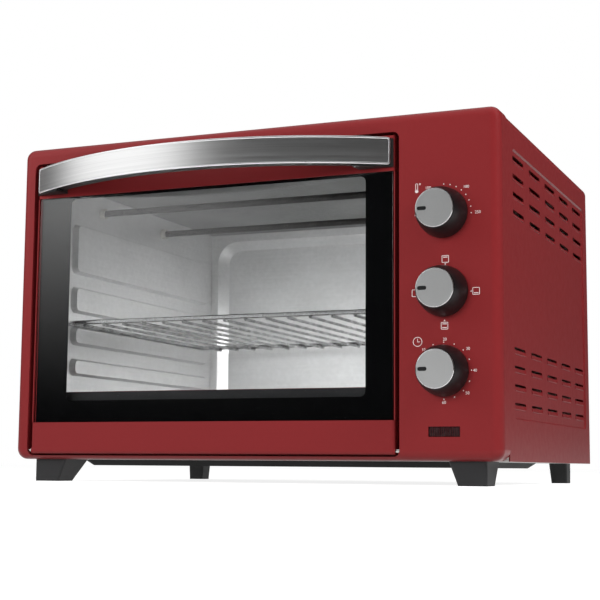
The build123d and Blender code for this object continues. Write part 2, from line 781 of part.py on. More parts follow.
# Side strips: narrow folded channels along both edges of the glass, with a foot for the stay arm
strip_low = bottom_rail_high + fit_gap
strip_high = top_rail_low - fit_gap
strip_ledge = glass_back_y + glass_seat_gap
for strip_name, edge_x, inward in (("door_side_left", door_left, 1), ("door_side_right", door_right, -1)):
    with BuildPart() as side_strip:
        edge_sides = sorted((edge_x, edge_x + inward * door_sheet))
        box_between((edge_sides[0], glass_front_y, strip_low), (edge_sides[1], door_back_y, strip_high))
        ledge_sides = sorted((edge_x, edge_x + inward * (stay_inset + stay_thickness)))
        box_between(
            (ledge_sides[0], strip_ledge, strip_low), (ledge_sides[1], strip_ledge + door_sheet, strip_high)
        )
    save(side_strip.part, strip_name)

# Clips behind the glass, two on each rail
with BuildPart() as glass_clips:
    for clip_x in ((door_left + door_mid_x) / 2, (door_mid_x + door_right) / 2):
        for rail_edge, outward in ((glass_high, 1), (glass_low, -1)):
            wall_z = door_high - door_sheet if outward > 0 else door_low + door_sheet
            clip_span = sorted((rail_edge - outward * clip_rise, wall_z - outward * seat_gap))
            box_between(
                (clip_x - clip_length / 2, strip_ledge, clip_span[0]),
                (clip_x + clip_length / 2, strip_ledge + door_sheet, clip_span[1]),
            )
            fold = sorted((wall_z - outward * seat_gap, wall_z - outward * (seat_gap + door_sheet)))
            box_between(
                (clip_x - clip_length / 2, strip_ledge, fold[0]),
                (clip_x + clip_length / 2, door_back_y - door_sheet, fold[1]),
            )
save(glass_clips.part, "glass_clips")

# Stay arms: quarter rings round the hinge line, fixed to the side strips and run through the frame's slots
stay_outer = stay_radius + stay_width / 2
stay_inner = stay_radius - stay_width / 2
hook_radius = stay_outer + stay_hook_rise
hook_room = hinge_z - foot_height - case_sheet - stay_floor_gap
end_angle = 90 + degrees(asin(hook_room / hook_radius))
hook_angle = end_angle - degrees(stay_hook_thickness / stay_outer)
stay_start_y = strip_ledge + door_sheet + seat_gap
outer_start = degrees(asin((stay_start_y - hinge_y) / stay_outer))
inner_start = degrees(asin((stay_start_y - hinge_y) / stay_inner))
stay_corners = {
    "outer_start": (stay_outer, outer_start),
    "outer_mid": (stay_outer, (outer_start + hook_angle) / 2),
    "hook_root": (stay_outer, hook_angle),
    "hook_tip": (hook_radius, hook_angle),
    "hook_end": (hook_radius, end_angle),
    "inner_end": (stay_inner, end_angle),
    "inner_mid": (stay_inner, (inner_start + end_angle) / 2),
    "inner_start": (stay_inner, inner_start),
}
points = {
    corner: (hinge_y + radius * sin(radians(angle)), hinge_z + radius * cos(radians(angle)))
    for corner, (radius, angle) in stay_corners.items()
}
stay_arms = (("door_stay_left", door_left + stay_inset), ("door_stay_right", door_right - stay_inset))
for stay_name, stay_x in stay_arms:
    with BuildPart() as stay_arm:
        stay_side = stay_x - stay_thickness / 2
        with BuildSketch(sideways(stay_side)):
            with BuildLine():
                ThreePointArc(points["outer_start"], points["outer_mid"], points["hook_root"])
                Line(points["hook_root"], points["hook_tip"])
                Line(points["hook_tip"], points["hook_end"])
                Line(points["hook_end"], points["inner_end"])
                ThreePointArc(points["inner_end"], points["inner_mid"], points["inner_start"])
                Line(points["inner_start"], points["outer_start"])
            make_face()
        extrude(amount=stay_thickness)
        # Foot plate against the side strip
        box_between(
            (stay_side, stay_start_y, hinge_z + stay_inner - stay_plate_below),
            (stay_side + stay_thickness, stay_start_y + door_sheet, hinge_z + stay_outer + stay_plate_above),
        )
    save(stay_arm.part, stay_name)


# Handle: a steel band in a bright border on a black grip, bowed away from the door
handle_mid_x = (handle_left + handle_right) / 2
handle_half = (handle_right - handle_left) / 2
trim_half = handle_half - trim_end_inset
bow_radius = (trim_half**2 + handle_bow**2) / (2 * handle_bow)
bow_centre_y = front_y - handle_reach + bow_radius
trim_back_radius = bow_radius - trim_thickness
grip_front_radius = trim_back_radius - seat_gap
grip_back_radius = grip_front_radius - grip_thickness


def bow_bar(outer_radius, inner_radius, low, high, half_length):
    """A stretch of ring round the bow's centre, between two heights and two ends, in front of the door."""
    with BuildPart() as bar:
        with BuildSketch(level(low)):
            with Locations((handle_mid_x, bow_centre_y)):
                Circle(outer_radius)
                Circle(inner_radius, mode=Mode.SUBTRACT)
            with Locations((handle_mid_x, front_y - handle_reach)):
                Rectangle(2 * half_length, 2 * handle_reach, mode=Mode.INTERSECT)
        extrude(amount=high - low)
    return bar.part


handle_band = bow_bar(
    bow_radius - fit_gap,
    bow_radius - fit_gap - band_thickness,
    handle_low + trim_width + seat_gap,
    handle_high - trim_width - seat_gap,
    trim_half - trim_width - seat_gap,
)
save(handle_band, "handle_band")

with BuildPart() as handle_trim:
    add(bow_bar(bow_radius, trim_back_radius, handle_low, handle_high, trim_half))
    add(
        bow_bar(
            bow_radius + trim_thickness,
            trim_back_radius - trim_thickness,
            handle_low + trim_width,
            handle_high - trim_width,
            trim_half - trim_width,
        ),
        mode=Mode.SUBTRACT,
    )
save(handle_trim.part, "handle_trim")

with BuildPart() as finger_space:
    with BuildSketch(level(handle_low - handle_height)):
        with Locations((handle_mid_x, bow_centre_y)):
            Circle(grip_back_radius)
        with Locations((handle_mid_x, front_y - handle_reach / 2)):
            Rectangle(2 * (handle_half - grip_post_length), 2 * handle_reach, mode=Mode.INTERSECT)
    extrude(amount=3 * handle_height)

with BuildPart() as handle_grip:
    with BuildSketch(level(handle_low - grip_post_drop)):
        with Locations((handle_mid_x, bow_centre_y)):
            Circle(grip_front_radius)
        with Locations((handle_mid_x, front_y - handle_reach / 2 - seat_gap)):
            Rectangle(2 * handle_half, handle_reach, mode=Mode.INTERSECT)
    extrude(amount=handle_height + grip_post_drop - grip_edge_inset)
    add(finger_space.part, mode=Mode.SUBTRACT)
    # The bow itself stays as low as the border; only its two posts drop below it
    box_between(
        (handle_left + grip_post_length, front_y - 2 * handle_reach, handle_low - 2 * grip_post_drop),
        (handle_right - grip_post_length, front_y, handle_low + grip_edge_inset),
        mode=Mode.SUBTRACT,
    )
    with Locations(*[Location((x, front_y, handle_screw_z), (90, 0, 0)) for x in handle_screw_x]):
        Cylinder(handle_screw_radius + thread_clearance, 2 * handle_screw_length, mode=Mode.SUBTRACT)
save(handle_grip.part, "handle_grip")

with BuildPart() as handle_screws:
    inside_y = front_y + door_sheet + seat_gap
    head_y = inside_y + handle_screw_head / 2
    with Locations(*[Location((x, head_y, handle_screw_z), (90, 0, 0)) for x in handle_screw_x]):
        Cylinder(handle_screw_head_radius, handle_screw_head)
    shank_y = inside_y - handle_screw_length / 2
    with Locations(*[Location((x, shank_y, handle_screw_z), (90, 0, 0)) for x in handle_screw_x]):
        Cylinder(handle_screw_radius, handle_screw_length)
save(handle_screws.part, "handle_screws")

# Wire rack, riding in the channel above one of the raised wall panels
rack_wire_inset = rack_side_gap + rack_wire_radius
channel_edge = panel_levels[rack_level][1]
slope_lift = rack_wire_radius + rack_rest_gap - rack_wire_inset * sin(radians(panel_slope))
rack_z = channel_edge + slope_lift / cos(radians(panel_slope))
rack_left = cavity_left + rack_wire_inset
rack_right = cavity_right - rack_wire_inset
rack_front_y = front_y + rack_front_setback + rack_wire_radius
rack_rear_y = cavity_back - rack_rear_gap - rack_wire_radius
cross_pitch = (rack_right - rack_left) / (cross_wire_count + 1)
cross_z = rack_z - rack_wire_radius - cross_wire_radius + wire_weld_depth
with BuildPart() as wire_rack:
    with BuildLine(level(rack_z)) as half_outline:
        FilletPolyline(
            (cavity_mid_x, rack_front_y),
            (rack_right, rack_front_y),
            (rack_right, rack_rear_y),
            (cavity_mid_x, rack_rear_y),
            radius=rack_corner,
        )
    with BuildSketch(sideways(cavity_mid_x)):
        with Locations((rack_front_y, rack_z)):
            Circle(rack_wire_radius)
    sweep(path=half_outline.line)
    mirror(about=sideways(cavity_mid_x))
    cross_mid_y = (rack_front_y + rack_rear_y) / 2
    cross_places = [rack_left + (i + 1) * cross_pitch for i in range(cross_wire_count)]
    with Locations(*[Location((x, cross_mid_y, cross_z), (90, 0, 0)) for x in cross_places]):
        Cylinder(cross_wire_radius, rack_rear_y - rack_front_y + 2 * cross_wire_radius)
save(wire_rack.part, "wire_rack")

# Controls: each has a body behind the face, a nut in front of it, a shaft, a knob and the knob's cap
control_front_y = front_y + case_sheet + seat_gap
bushing_front_y = control_front_y - bushing_length
knob_base_y = front_y - knob_panel_gap
knob_tip_y = knob_base_y - knob_depth
boss_back_y = front_y - knob_boss_setback
shaft_tip_y = boss_back_y - shaft_knob_insert
shaft_root_y = control_front_y + shaft_tail
bell_front_y = control_front_y + control_bodies["timer"][2] + bell_gap


def d_shape(x, z, near_y, far_y, radius, flat):
    """A bar along Y with a round section that has one flat along its top."""
    with BuildPart() as bar:
        with BuildSketch(facing(far_y)):
            with Locations((x, z)):
                Circle(radius)
            with Locations((x, z + 2 * radius - flat)):
                Rectangle(2 * radius, 2 * radius, mode=Mode.SUBTRACT)
        extrude(amount=far_y - near_y)
    return bar.part


control_nuts = []
for control, knob_z in knob_heights.items():
    body_x, body_z, body_y = control_bodies[control]
    with BuildPart() as control_body:
        box_between(
            (control_x - body_x / 2, control_front_y, knob_z - body_z / 2),
            (control_x + body_x / 2, control_front_y + body_y, knob_z + body_z / 2),
        )
        fillet(control_body.edges().filter_by(Axis.Y), control_corner)
        with Locations(Location((control_x, control_front_y - bushing_length / 2, knob_z), (90, 0, 0))):
            Cylinder(bushing_radius, bushing_length)
        with Locations(Location((control_x, control_front_y, knob_z), (90, 0, 0))):
            Cylinder(shaft_radius + shaft_running_gap, 2 * (shaft_tail + fit_gap), mode=Mode.SUBTRACT)
        if control == "timer":
            post_front_y = control_front_y + body_y
            post_rear_y = bell_front_y + bell_depth - bell_wall - seat_gap
            with Locations(Location((control_x, (post_front_y + post_rear_y) / 2, knob_z), (90, 0, 0))):
                Cylinder(bell_post_radius, post_rear_y - post_front_y)
    save(control_body.part, f"{control}_control")

    with BuildPart() as control_nut:
        with BuildSketch(facing(front_y - seat_gap)):
            with Locations((control_x, knob_z)):
                RegularPolygon(nut_width / 2, 6, major_radius=False)
                Circle(bushing_radius + thread_clearance, mode=Mode.SUBTRACT)
        extrude(amount=nut_thickness)
    control_nuts.append(control_nut.part)

    with BuildPart() as control_shaft:
        with Locations(Location((control_x, (shaft_root_y + bushing_front_y) / 2, knob_z), (90, 0, 0))):
            Cylinder(shaft_radius, shaft_root_y - bushing_front_y)
        add(d_shape(control_x, knob_z, shaft_tip_y, bushing_front_y, shaft_radius, shaft_flat))
    save(control_shaft.part, f"{control}_shaft")

    knob_axis = Axis((control_x, 0, knob_z), (0, 1, 0))
    with BuildPart() as knob:
        with BuildSketch(level(knob_z)):
            with BuildLine():
                rim_edge = (control_x + knob_base_radius, knob_base_y - knob_rim)
                tip_edge = (control_x + knob_tip_radius, knob_tip_y)
                bulge = (
                    (rim_edge[0] + tip_edge[0]) / 2 + knob_bulge,
                    (rim_edge[1] + tip_edge[1]) / 2,
                )
                Line((control_x, knob_base_y), (control_x + knob_base_radius, knob_base_y))
                Line((control_x + knob_base_radius, knob_base_y), rim_edge)
                ThreePointArc(rim_edge, bulge, tip_edge)
                Line(tip_edge, (control_x, knob_tip_y))
                Line((control_x, knob_tip_y), (control_x, knob_base_y))
            make_face()
        revolve(axis=knob_axis)
        fillet(knob.faces().sort_by(Axis.Y)[0].edges(), knob_edge)
        # Hollow skirt round a boss that takes the shaft
        skirt_depth = knob_depth - knob_wall
        with Locations(Location((control_x, knob_base_y - skirt_depth / 2, knob_z), (90, 0, 0))):
            Cylinder(knob_tip_radius - knob_wall / 2, skirt_depth, mode=Mode.SUBTRACT)
        boss_length = boss_back_y - knob_tip_y - knob_wall / 2
        with Locations(Location((control_x, boss_back_y - boss_length / 2, knob_z), (90, 0, 0))):
            Cylinder(knob_boss_radius, boss_length)
        add(
            d_shape(
                control_x,
                knob_z,
                shaft_tip_y - fit_gap,
                boss_back_y + 1,
                shaft_radius + thread_clearance,
                shaft_flat,
            ),
            mode=Mode.SUBTRACT,
        )
        # Pointer rib that fills the slot in the cap
        pointer_x = control_x - cap_radius + pointer_margin + pointer_length / 2
        with BuildSketch(facing(knob_tip_y + knob_wall / 2)):
            with Locations((pointer_x, knob_z)):
                SlotOverall(pointer_length, pointer_width)
        extrude(amount=knob_wall / 2 + cap_thickness - pointer_sink)
    save(knob.part, f"{control}_knob")

    with BuildPart() as cap:
        with BuildSketch(facing(knob_tip_y - seat_gap)):
            with Locations((control_x, knob_z)):
                Circle(cap_radius)
            slot_length = pointer_length + 2 * hole_clearance
            slot_width = pointer_width + 2 * hole_clearance
            with Locations((pointer_x, knob_z)):
                SlotOverall(slot_length, slot_width, mode=Mode.SUBTRACT)
        extrude(amount=cap_thickness)
        rim = cap.faces().sort_by(Axis.Y)[0].outer_wire().edges()
        chamfer(rim, cap_edge)
    save(cap.part, f"{control}_cap")

with BuildPart() as nut_set:
    for one_nut in control_nuts:
        add(one_nut)
save(nut_set.part, "control_nuts")

# Timer bell: a pressed cup carried at its middle on the post behind the timer
with BuildPart() as timer_bell:
    with Locations(Location((control_x, bell_front_y + bell_depth / 2, knob_heights["timer"]), (90, 0, 0))):
        Cylinder(bell_radius, bell_depth)
    fillet(timer_bell.faces().sort_by(Axis.Y)[-1].edges(), bell_rounding)
    offset(amount=-bell_wall, openings=timer_bell.faces().sort_by(Axis.Y)[0])
save(timer_bell.part, "timer_bell")

# Pilot lamp: a dark red lens in the face with a small neon lamp behind it
with BuildPart() as pilot_lens:
    lens_half_x = pilot_width / 2 - hole_clearance
    lens_half_z = pilot_height / 2 - hole_clearance
    box_between(
        (control_x - lens_half_x, front_y + pilot_sink, pilot_level - lens_half_z),
        (control_x + lens_half_x, front_y + pilot_depth, pilot_level + lens_half_z),
    )
    chamfer(pilot_lens.faces().sort_by(Axis.Y)[0].edges(), pilot_sink)
    flange_y = front_y + case_sheet + seat_gap
    box_between(
        (control_x - pilot_width / 2 - pilot_flange, flange_y, pilot_level - pilot_height / 2 - pilot_flange),
        (
            control_x + pilot_width / 2 + pilot_flange,
            flange_y + pilot_flange_thickness,
            pilot_level + pilot_height / 2 + pilot_flange,
        ),
    )
save(pilot_lens.part, "pilot_lens")

with BuildPart() as pilot_lamp:
    lamp_y = front_y + pilot_depth + fit_gap + lamp_radius
    with Locations(Location((control_x, lamp_y, pilot_level), (0, 90, 0))):
        Cylinder(lamp_radius, lamp_length)
    fillet(pilot_lamp.edges(), lamp_rounding)
save(pilot_lamp.part, "pilot_lamp")

# Cable gland in the rear plate, with an open bore for the supply cord, and the terminal block inside
with BuildPart() as cable_gland:
    with Locations(Location((gland_x, rear_y + gland_out / 2, gland_z), (90, 0, 0))):
        Cylinder(gland_radius, gland_out)
    fillet(cable_gland.faces().sort_by(Axis.Y)[-1].edges(), gland_rounding)
    collar_y = rear_y + seat_gap
    with Locations(Location((gland_x, collar_y + gland_flange_thickness / 2, gland_z), (90, 0, 0))):
        Cylinder(gland_flange_radius, gland_flange_thickness)
    with Locations(Location((gland_x, rear_y - gland_in / 2, gland_z), (90, 0, 0))):
        Cylinder(gland_radius, gland_in)
    with Locations(Location((gland_x, rear_y, gland_z), (90, 0, 0))):
        Cylinder(gland_bore, 3 * (gland_out + gland_in), mode=Mode.SUBTRACT)
save(cable_gland.part, "cable_gland")

with BuildPart() as terminal_block:
    terminal_low = foot_height + case_sheet
    terminal_y = rear_y - terminal_setback
    box_between(
        (gland_x - terminal_size[0] / 2, terminal_y - terminal_size[1] / 2, terminal_low),
        (gland_x + terminal_size[0] / 2, terminal_y + terminal_size[1] / 2, terminal_low + terminal_size[2]),
    )
    fillet(terminal_block.edges().filter_by(Axis.Z), terminal_corner)
    with Locations((gland_x, terminal_y, terminal_low + terminal_size[2])):
        with GridLocations(terminal_size[0] / terminal_ways, terminal_size[1] / 2, terminal_ways, 2):
            Cylinder(terminal_hole_radius, 2 * terminal_hole_depth, mode=Mode.SUBTRACT)
save(terminal_block.part, "terminal_block")
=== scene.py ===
"""Looks of a free-standing electric table oven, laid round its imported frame.

The file is laid out as an add-on: settings hold the sizes and colours a user would change, one
operator makes each group of pieces, and a panel in the 3D view's sidebar lists them. Everything is
in metres, in the frame's own axes: X to the right as the user faces the oven, Y back into it, Z up
from the table.
"""

import json
import math

import bpy
import numpy as np
from bpy.props import FloatProperty, FloatVectorProperty, IntProperty, PointerProperty
from mathutils import Matrix, Vector

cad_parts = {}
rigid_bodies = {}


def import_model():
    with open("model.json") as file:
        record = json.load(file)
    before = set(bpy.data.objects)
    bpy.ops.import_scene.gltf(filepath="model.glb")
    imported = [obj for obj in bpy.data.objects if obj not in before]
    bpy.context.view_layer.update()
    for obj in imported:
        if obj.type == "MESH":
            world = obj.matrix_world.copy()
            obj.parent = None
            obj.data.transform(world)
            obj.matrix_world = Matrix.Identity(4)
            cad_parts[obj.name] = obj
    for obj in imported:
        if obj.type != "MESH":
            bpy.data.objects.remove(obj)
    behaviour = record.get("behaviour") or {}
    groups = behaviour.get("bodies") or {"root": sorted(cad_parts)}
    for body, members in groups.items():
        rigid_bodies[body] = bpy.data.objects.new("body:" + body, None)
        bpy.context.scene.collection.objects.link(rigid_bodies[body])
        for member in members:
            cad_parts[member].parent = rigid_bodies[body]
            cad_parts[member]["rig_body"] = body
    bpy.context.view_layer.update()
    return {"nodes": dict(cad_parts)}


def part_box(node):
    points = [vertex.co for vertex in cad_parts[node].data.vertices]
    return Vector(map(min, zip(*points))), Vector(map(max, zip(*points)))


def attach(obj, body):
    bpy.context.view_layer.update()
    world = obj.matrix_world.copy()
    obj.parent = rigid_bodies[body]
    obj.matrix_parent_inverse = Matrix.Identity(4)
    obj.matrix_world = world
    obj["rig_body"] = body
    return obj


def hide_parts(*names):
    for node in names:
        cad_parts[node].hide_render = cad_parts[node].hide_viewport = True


bl_info = {
    "name": "Electric Table Oven",
    "version": (1, 0, 0),
    "blender": (4, 5, 0),
    "location": "View3D > Sidebar > Oven",
    "description": "Dresses the frame of an electric table oven with paint, metal, glass and print",
    "category": "Object",
}

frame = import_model()
nodes = frame["nodes"]

CONTROLS = ("thermostat", "function", "timer")
MM = 0.001

# Rear screws: pan heads with a cut cross
HEAD_RADIUS = 3.6 * MM
HEAD_HEIGHT = 2.0 * MM
CROSS_REACH = 2.3 * MM
CROSS_HALF = 0.5 * MM
CROSS_DEPTH = 0.75  # share of the head's height

# Printed scales: the radius of a ring of dots in millimetres, and its runs of dots as the first
# angle, the step and the count, in degrees clockwise from the top
DOTS = {
    "thermostat": (25.3, ((2, 13.1, 8), (-92, 13.1, 3))),
    "timer": (24.5, ((-22.5, 22.5, 10),)),
}
# Figures, each with its place in millimetres to the right of the knob's axis and above it
FIGURES = {
    "thermostat": (("100", -13.4, 22.9), ("180", 21.0, 21.6), ("250", 31.2, -1.4)),
    "timer": (
        ("10", -18.0, 18.5), ("20", 1.1, 27.0), ("30", 21.6, 18.4),
        ("40", 27.6, -0.3), ("50", 20.8, -19.4), ("60", 0.1, -27.2),
    ),
}
# Square signs: the place, whether a heavy line runs along the top and the bottom, and the turn of
# the pointer and its place beside the sign, in millimetres
SIGNS = (
    ((1.9, 28.0), True, False, math.pi, (0, -4.4)),
    ((29.1, -1.0), False, True, math.pi / 2, (-4.4, 0)),
    ((0.9, -30.0), True, True, 0.0, (0, 4.4)),
    ((-25.3, -0.7), False, False, -math.pi / 2, (4.4, 0)),
)

# Where the lamps and the card are centred, in metres
MIDDLE = Vector((-0.04, -0.16, 0.18))
# Lamps round the oven: azimuth and elevation in degrees, distance and size in metres
SOFTBOXES = {
    "softbox": (-50, 29, 1.75, (1.45, 1.0)),
    "front": (-4, 12, 1.9, (0.7, 0.5)),
    "fill": (82, 30, 1.9, (0.9, 0.9)),
}
# Sheets of light in the oven: place, the way each faces, size, and share of the inner glow
INNER_SHEETS = {
    "right_wall": ((0.118, 0.03, 0.15), 96, 30, (0.24, 0.12), 1.0),
    "mouth": ((-0.01, -0.143, 0.16), -6, 10, (0.26, 0.13), 0.62),
}
SHEET_OPENING = 95  # degrees across the cone of light of such a sheet
GROUND_GREY = (0.55, 0.55, 0.55, 1)
GROUND_LIFT = 0.84  # brings the ground to white where no shadow falls on it
GROUND_DROP = -0.05 * MM  # just under the feet


# Settings

def length_setting(name, description, default):
    """A setting in metres."""
    return FloatProperty(name=name, description=description, unit="LENGTH", default=default)


def colour_setting(name, description, default):
    """A setting that holds a colour."""
    return FloatVectorProperty(
        name=name, description=description, subtype="COLOR", size=3, default=default
    )


def angle_setting(name, description, default):
    """A setting in radians, which the sidebar shows in degrees."""
    return FloatProperty(name=name, description=description, subtype="ANGLE", default=default)


def number_setting(name, description, default):
    """A setting without a unit, such as a brightness."""
    return FloatProperty(name=name, description=description, default=default)


class OvenPaint(bpy.types.PropertyGroup):
    """Enamel of the case and the door."""

    red: colour_setting("Red", "Colour of the enamel", (0.203, 0.0175, 0.0193))
    roughness: FloatProperty(
        name="Roughness", description="Middle roughness of the enamel",
        subtype="FACTOR", default=0.36,
    )
    peel: length_setting("Peel Size", "Width of one ripple of the sprayed coat", 0.0011)


class OvenMetal(bpy.types.PropertyGroup):
    """Bare metals of the handle, the cooking space and the small parts."""

    steel: colour_setting("Steel", "Colour of the handle's band", (0.66, 0.66, 0.66))
    chrome: colour_setting("Chrome", "Colour of the plated border and wires", (0.84, 0.84, 0.85))
    aluminium: colour_setting("Aluminium", "Colour of the knob caps", (0.58, 0.585, 0.585))
    rack: colour_setting("Rack", "Colour of the plated wires of the rack", (0.42, 0.42, 0.42))
    # The ceiling's colour is darker than the lining's as painted shade, for the shade on that
    # downward-facing sheet; the floor's colour is darker than the lining's too.
    ceiling: colour_setting(
        "Ceiling", "Colour of the sheet over the upper heaters", (0.17, 0.17, 0.17)
    )
    floor: colour_setting(
        "Floor", "Colour of the sheet under the lower heaters", (0.24, 0.24, 0.24)
    )
    lining: colour_setting(
        "Lining", "Colour of the coated sheet inside the oven", (0.72, 0.72, 0.72)
    )
    zinc: colour_setting("Zinc", "Colour of screws, nuts and stays", (0.58, 0.58, 0.56))
    sheath: colour_setting(
        "Heater Sheath", "Colour of the heat-darkened tubes", (0.035, 0.033, 0.032)
    )


class OvenPlastic(bpy.types.PropertyGroup):
    """Plastic, rubber and ceramic of the small parts."""

    knob: colour_setting("Knob", "Colour of the knobs", (0.006, 0.006, 0.0065))
    grip: colour_setting("Grip", "Colour of the handle's grip", (0.012, 0.012, 0.012))
    feet: colour_setting("Feet", "Colour of the feet", (0.022, 0.022, 0.023))
    pan: colour_setting("Pan", "Colour of the underside", (0.006, 0.006, 0.006))
    gland: colour_setting("Gland", "Colour of the rubber gland", (0.014, 0.014, 0.014))
    terminals: colour_setting("Terminals", "Colour of the terminal block", (0.72, 0.72, 0.69))
    switches: colour_setting(
        "Switches", "Colour of the mouldings behind the knobs", (0.055, 0.045, 0.036)
    )
    bushes: colour_setting(
        "Bushes", "Colour of the ceramic round the heaters' ends", (0.62, 0.60, 0.55)
    )


class OvenLamp(bpy.types.PropertyGroup):
    """Signal lens and the lamp behind it."""

    lens_dark: colour_setting("Lens Dark", "Colour between the ribs", (0.012, 0.0035, 0.004))
    lens_light: colour_setting("Lens Light", "Colour on the ribs", (0.034, 0.0055, 0.007))
    bulb: colour_setting("Bulb", "Tint of the lamp's glass", (0.95, 0.62, 0.42))


class OvenVents(bpy.types.PropertyGroup):
    """Pressed lips in the slots of both side walls."""

    length: length_setting("Slot Length", "Whole length of a slot", 0.044)
    height: length_setting("Slot Height", "Height of a slot", 0.0062)
    upper_lip_rise: length_setting(
        "Upper Lip Rise", "How far a lip of the upper rows stands up", 0.0033
    )
    lower_lip_rise: length_setting(
        "Lower Lip Rise", "How far a lip of the lower rows stands up", 0.0042
    )
    lip_depth: length_setting("Lip Depth", "How far a lip's edge is pressed inwards", 0.0018)
    lip_sheet: length_setting("Lip Sheet", "Thickness of a lip", 0.0006)
    field_depth: length_setting("Field Depth", "How far the slotted field is sunk", 0.0015)
    pitch: length_setting("Row Pitch", "From one row to the next", 0.01635)
    top_row: length_setting("Top Row", "From the table to the highest row", 0.2908)
    low_row: length_setting("Lowest Row", "From the table to the lowest row", 0.0696)
    first_column: length_setting("First Column", "Place of the front column", -0.095)
    step: length_setting("Column Step", "From one column to the next", 0.066)
    rows: IntProperty(name="Rows", description="Rows in each group of slots", default=4)
    columns: IntProperty(name="Columns", description="Columns of slots", default=5)


class OvenGlass(bpy.types.PropertyGroup):
    """Glass of the door and its printed border."""

    window_side: length_setting(
        "Window Left Margin", "From the glass's left edge to the window", 0.0345
    )
    window_right: length_setting(
        "Window Right Margin", "From the glass's right edge to the window", 0.0265
    )
    window_low: length_setting(
        "Window Lower Margin", "From the glass's lower edge to the window", 0.0279
    )
    window_high: length_setting(
        "Window Upper Margin", "From the glass's upper edge to the window", 0.0093
    )
    window_corner: length_setting("Window Corner", "Corner radius of the window", 0.005)
    print_black: colour_setting(
        "Print Black", "Colour of the printed border", (0.0035, 0.0035, 0.0038)
    )
    tint: colour_setting("Tint", "Tint of the pane", (0.93, 0.94, 0.94))
    print_edge: length_setting("Print Edge", "From the glass's edge to the printed border", 0.0006)
    print_corner: length_setting("Print Corner", "Outer corner radius of the printed border", 0.001)
    print_gap: length_setting("Print Gap", "From the back of the glass to the print", 0.00004)
    print_film: length_setting("Print Film", "Thickness of the printed border", 0.00006)


class OvenMouthShade(bpy.types.PropertyGroup):
    """Dark ring round the oven's mouth: painted shade where the frame's border round the mouth lies
    in shadow.
    """

    inset: length_setting("Side Inset", "From the lining's side to the mouth", 0.0005)
    low_inset: length_setting("Low Inset", "From the lining's floor to the mouth", 0.0245)
    top_inset: length_setting("Top Inset", "From the lining's ceiling to the mouth", 0.0045)
    width: length_setting("Width", "Width of the dark border", 0.014)
    corner: length_setting("Corner", "Inner corner radius", 0.006)
    face: length_setting("Face", "Depth of the border's front", -0.15112)
    # Film and Black are the thickness and colour of this painted shade, a dark ring.
    film: length_setting("Film", "Thickness of the enamel", 0.0001)
    black: colour_setting("Black", "Colour of the dark enamel", (0.02, 0.02, 0.021))


class OvenHandle(bpy.types.PropertyGroup):
    """Bright border of the bowed handle."""

    bow: length_setting("Bow", "How far the middle stands in front of the ends", 0.053)
    border: length_setting("Border Width", "Width of the bright border", 0.0019)
    border_depth: length_setting("Border Depth", "Thickness of the bright border", 0.0016)
    border_corner: length_setting("Border Corner", "Outer corner radius of the border", 0.0028)
    section_corner: length_setting("Section Corner", "How round the border's section is", 0.0007)
    border_points: IntProperty(
        name="Border Points", description="Points along the bright border", default=240
    )


class OvenKnobs(bpy.types.PropertyGroup):
    """Bright bead round each knob's cap."""

    bead: length_setting("Bead", "Radius of the bead", 0.00038)
    bead_inset: length_setting("Bead Inset", "From the cap's edge to the bead's middle", 0.0003)


class OvenPrint(bpy.types.PropertyGroup):
    """White marks printed round the knobs."""

    white: colour_setting("White", "Colour of the printed marks", (0.78, 0.70, 0.69))
    line: length_setting("Line", "Width of a printed line", 0.00050)
    dot: length_setting("Dot", "Radius of a printed dot", 0.00052)
    figure: length_setting("Figure", "Type size of the figures", 0.0036)
    film: length_setting("Film", "Thickness of the printed film", 0.00005)


class OvenStage(bpy.types.PropertyGroup):
    """Camera, lights and ground."""

    camera_place: FloatVectorProperty(
        name="Camera Place", description="Where the camera stands",
        subtype="TRANSLATION", unit="LENGTH", size=3, default=(0.529468, -1.284278, 0.015490),
    )
    camera_yaw: angle_setting("Camera Yaw", "Turn to the left of straight back", 0.39941)
    camera_pitch: angle_setting("Camera Pitch", "Tilt upwards", 0.12222)
    camera_roll: angle_setting("Camera Roll", "Turn about the line of sight", 0.00772)
    camera_lens: FloatProperty(
        name="Focal Length", description="In millimetres", unit="CAMERA", default=81.41
    )
    ambient: number_setting("Ambient", "Strength of the room's even light", 0.27)
    softbox_glow: number_setting("Softbox Glow", "Brightness of the large light at the left", 1.7)
    front_glow: number_setting(
        "Front Glow", "Brightness of the light that looks into the oven", 20.0
    )
    inner_glow: number_setting("Inner Glow", "Brightness of the light in the oven", 7.4)
    fill_glow: number_setting("Fill Glow", "Brightness of the high light at the right", 10.0)
    card_low: number_setting("Card Low", "Brightness of the card's dark part", 0.0)
    card_rear: number_setting("Card Rear", "Brightness of the card behind", 0.07)
    card_peak: number_setting("Card Peak", "Brightness of the card's bright part", 1.9)
    card_from: angle_setting(
        "Card From", "Azimuth where its bright part starts", math.radians(-78)
    )
    card_to: angle_setting("Card To", "Azimuth where its bright part ends", math.radians(-25))
    card_edge: angle_setting("Card Edge", "Width of its soft edges", math.radians(16))
    card_foot: length_setting("Card Foot", "Height from which its elevation is measured", 0.1)
    card_start: angle_setting("Card Start", "Elevation where it starts", math.radians(1))
    card_ramp: angle_setting("Card Ramp", "Climb over which it reaches full", math.radians(12))
    ground_size: length_setting("Ground Size", "Side of the pale ground", 60.0)
    steps: IntProperty(name="Steps", description="Points round a small curve", default=16)


# Shapes as arrays

def grid_faces(rows, columns, wrap_rows=False, wrap_columns=False):
    """Four-sided faces between neighbours of a grid of points, joined where a direction wraps."""
    row = np.arange(rows if wrap_rows else rows - 1)[:, None]
    column = np.arange(columns if wrap_columns else columns - 1)[None, :]
    next_row = (row + 1) % rows
    next_column = (column + 1) % columns
    corners = (
        row * columns + column,
        row * columns + next_column,
        next_row * columns + next_column,
        next_row * columns + column,
    )
    return np.stack([np.broadcast_to(c, corners[0].shape) for c in corners], -1).reshape(-1, 4)


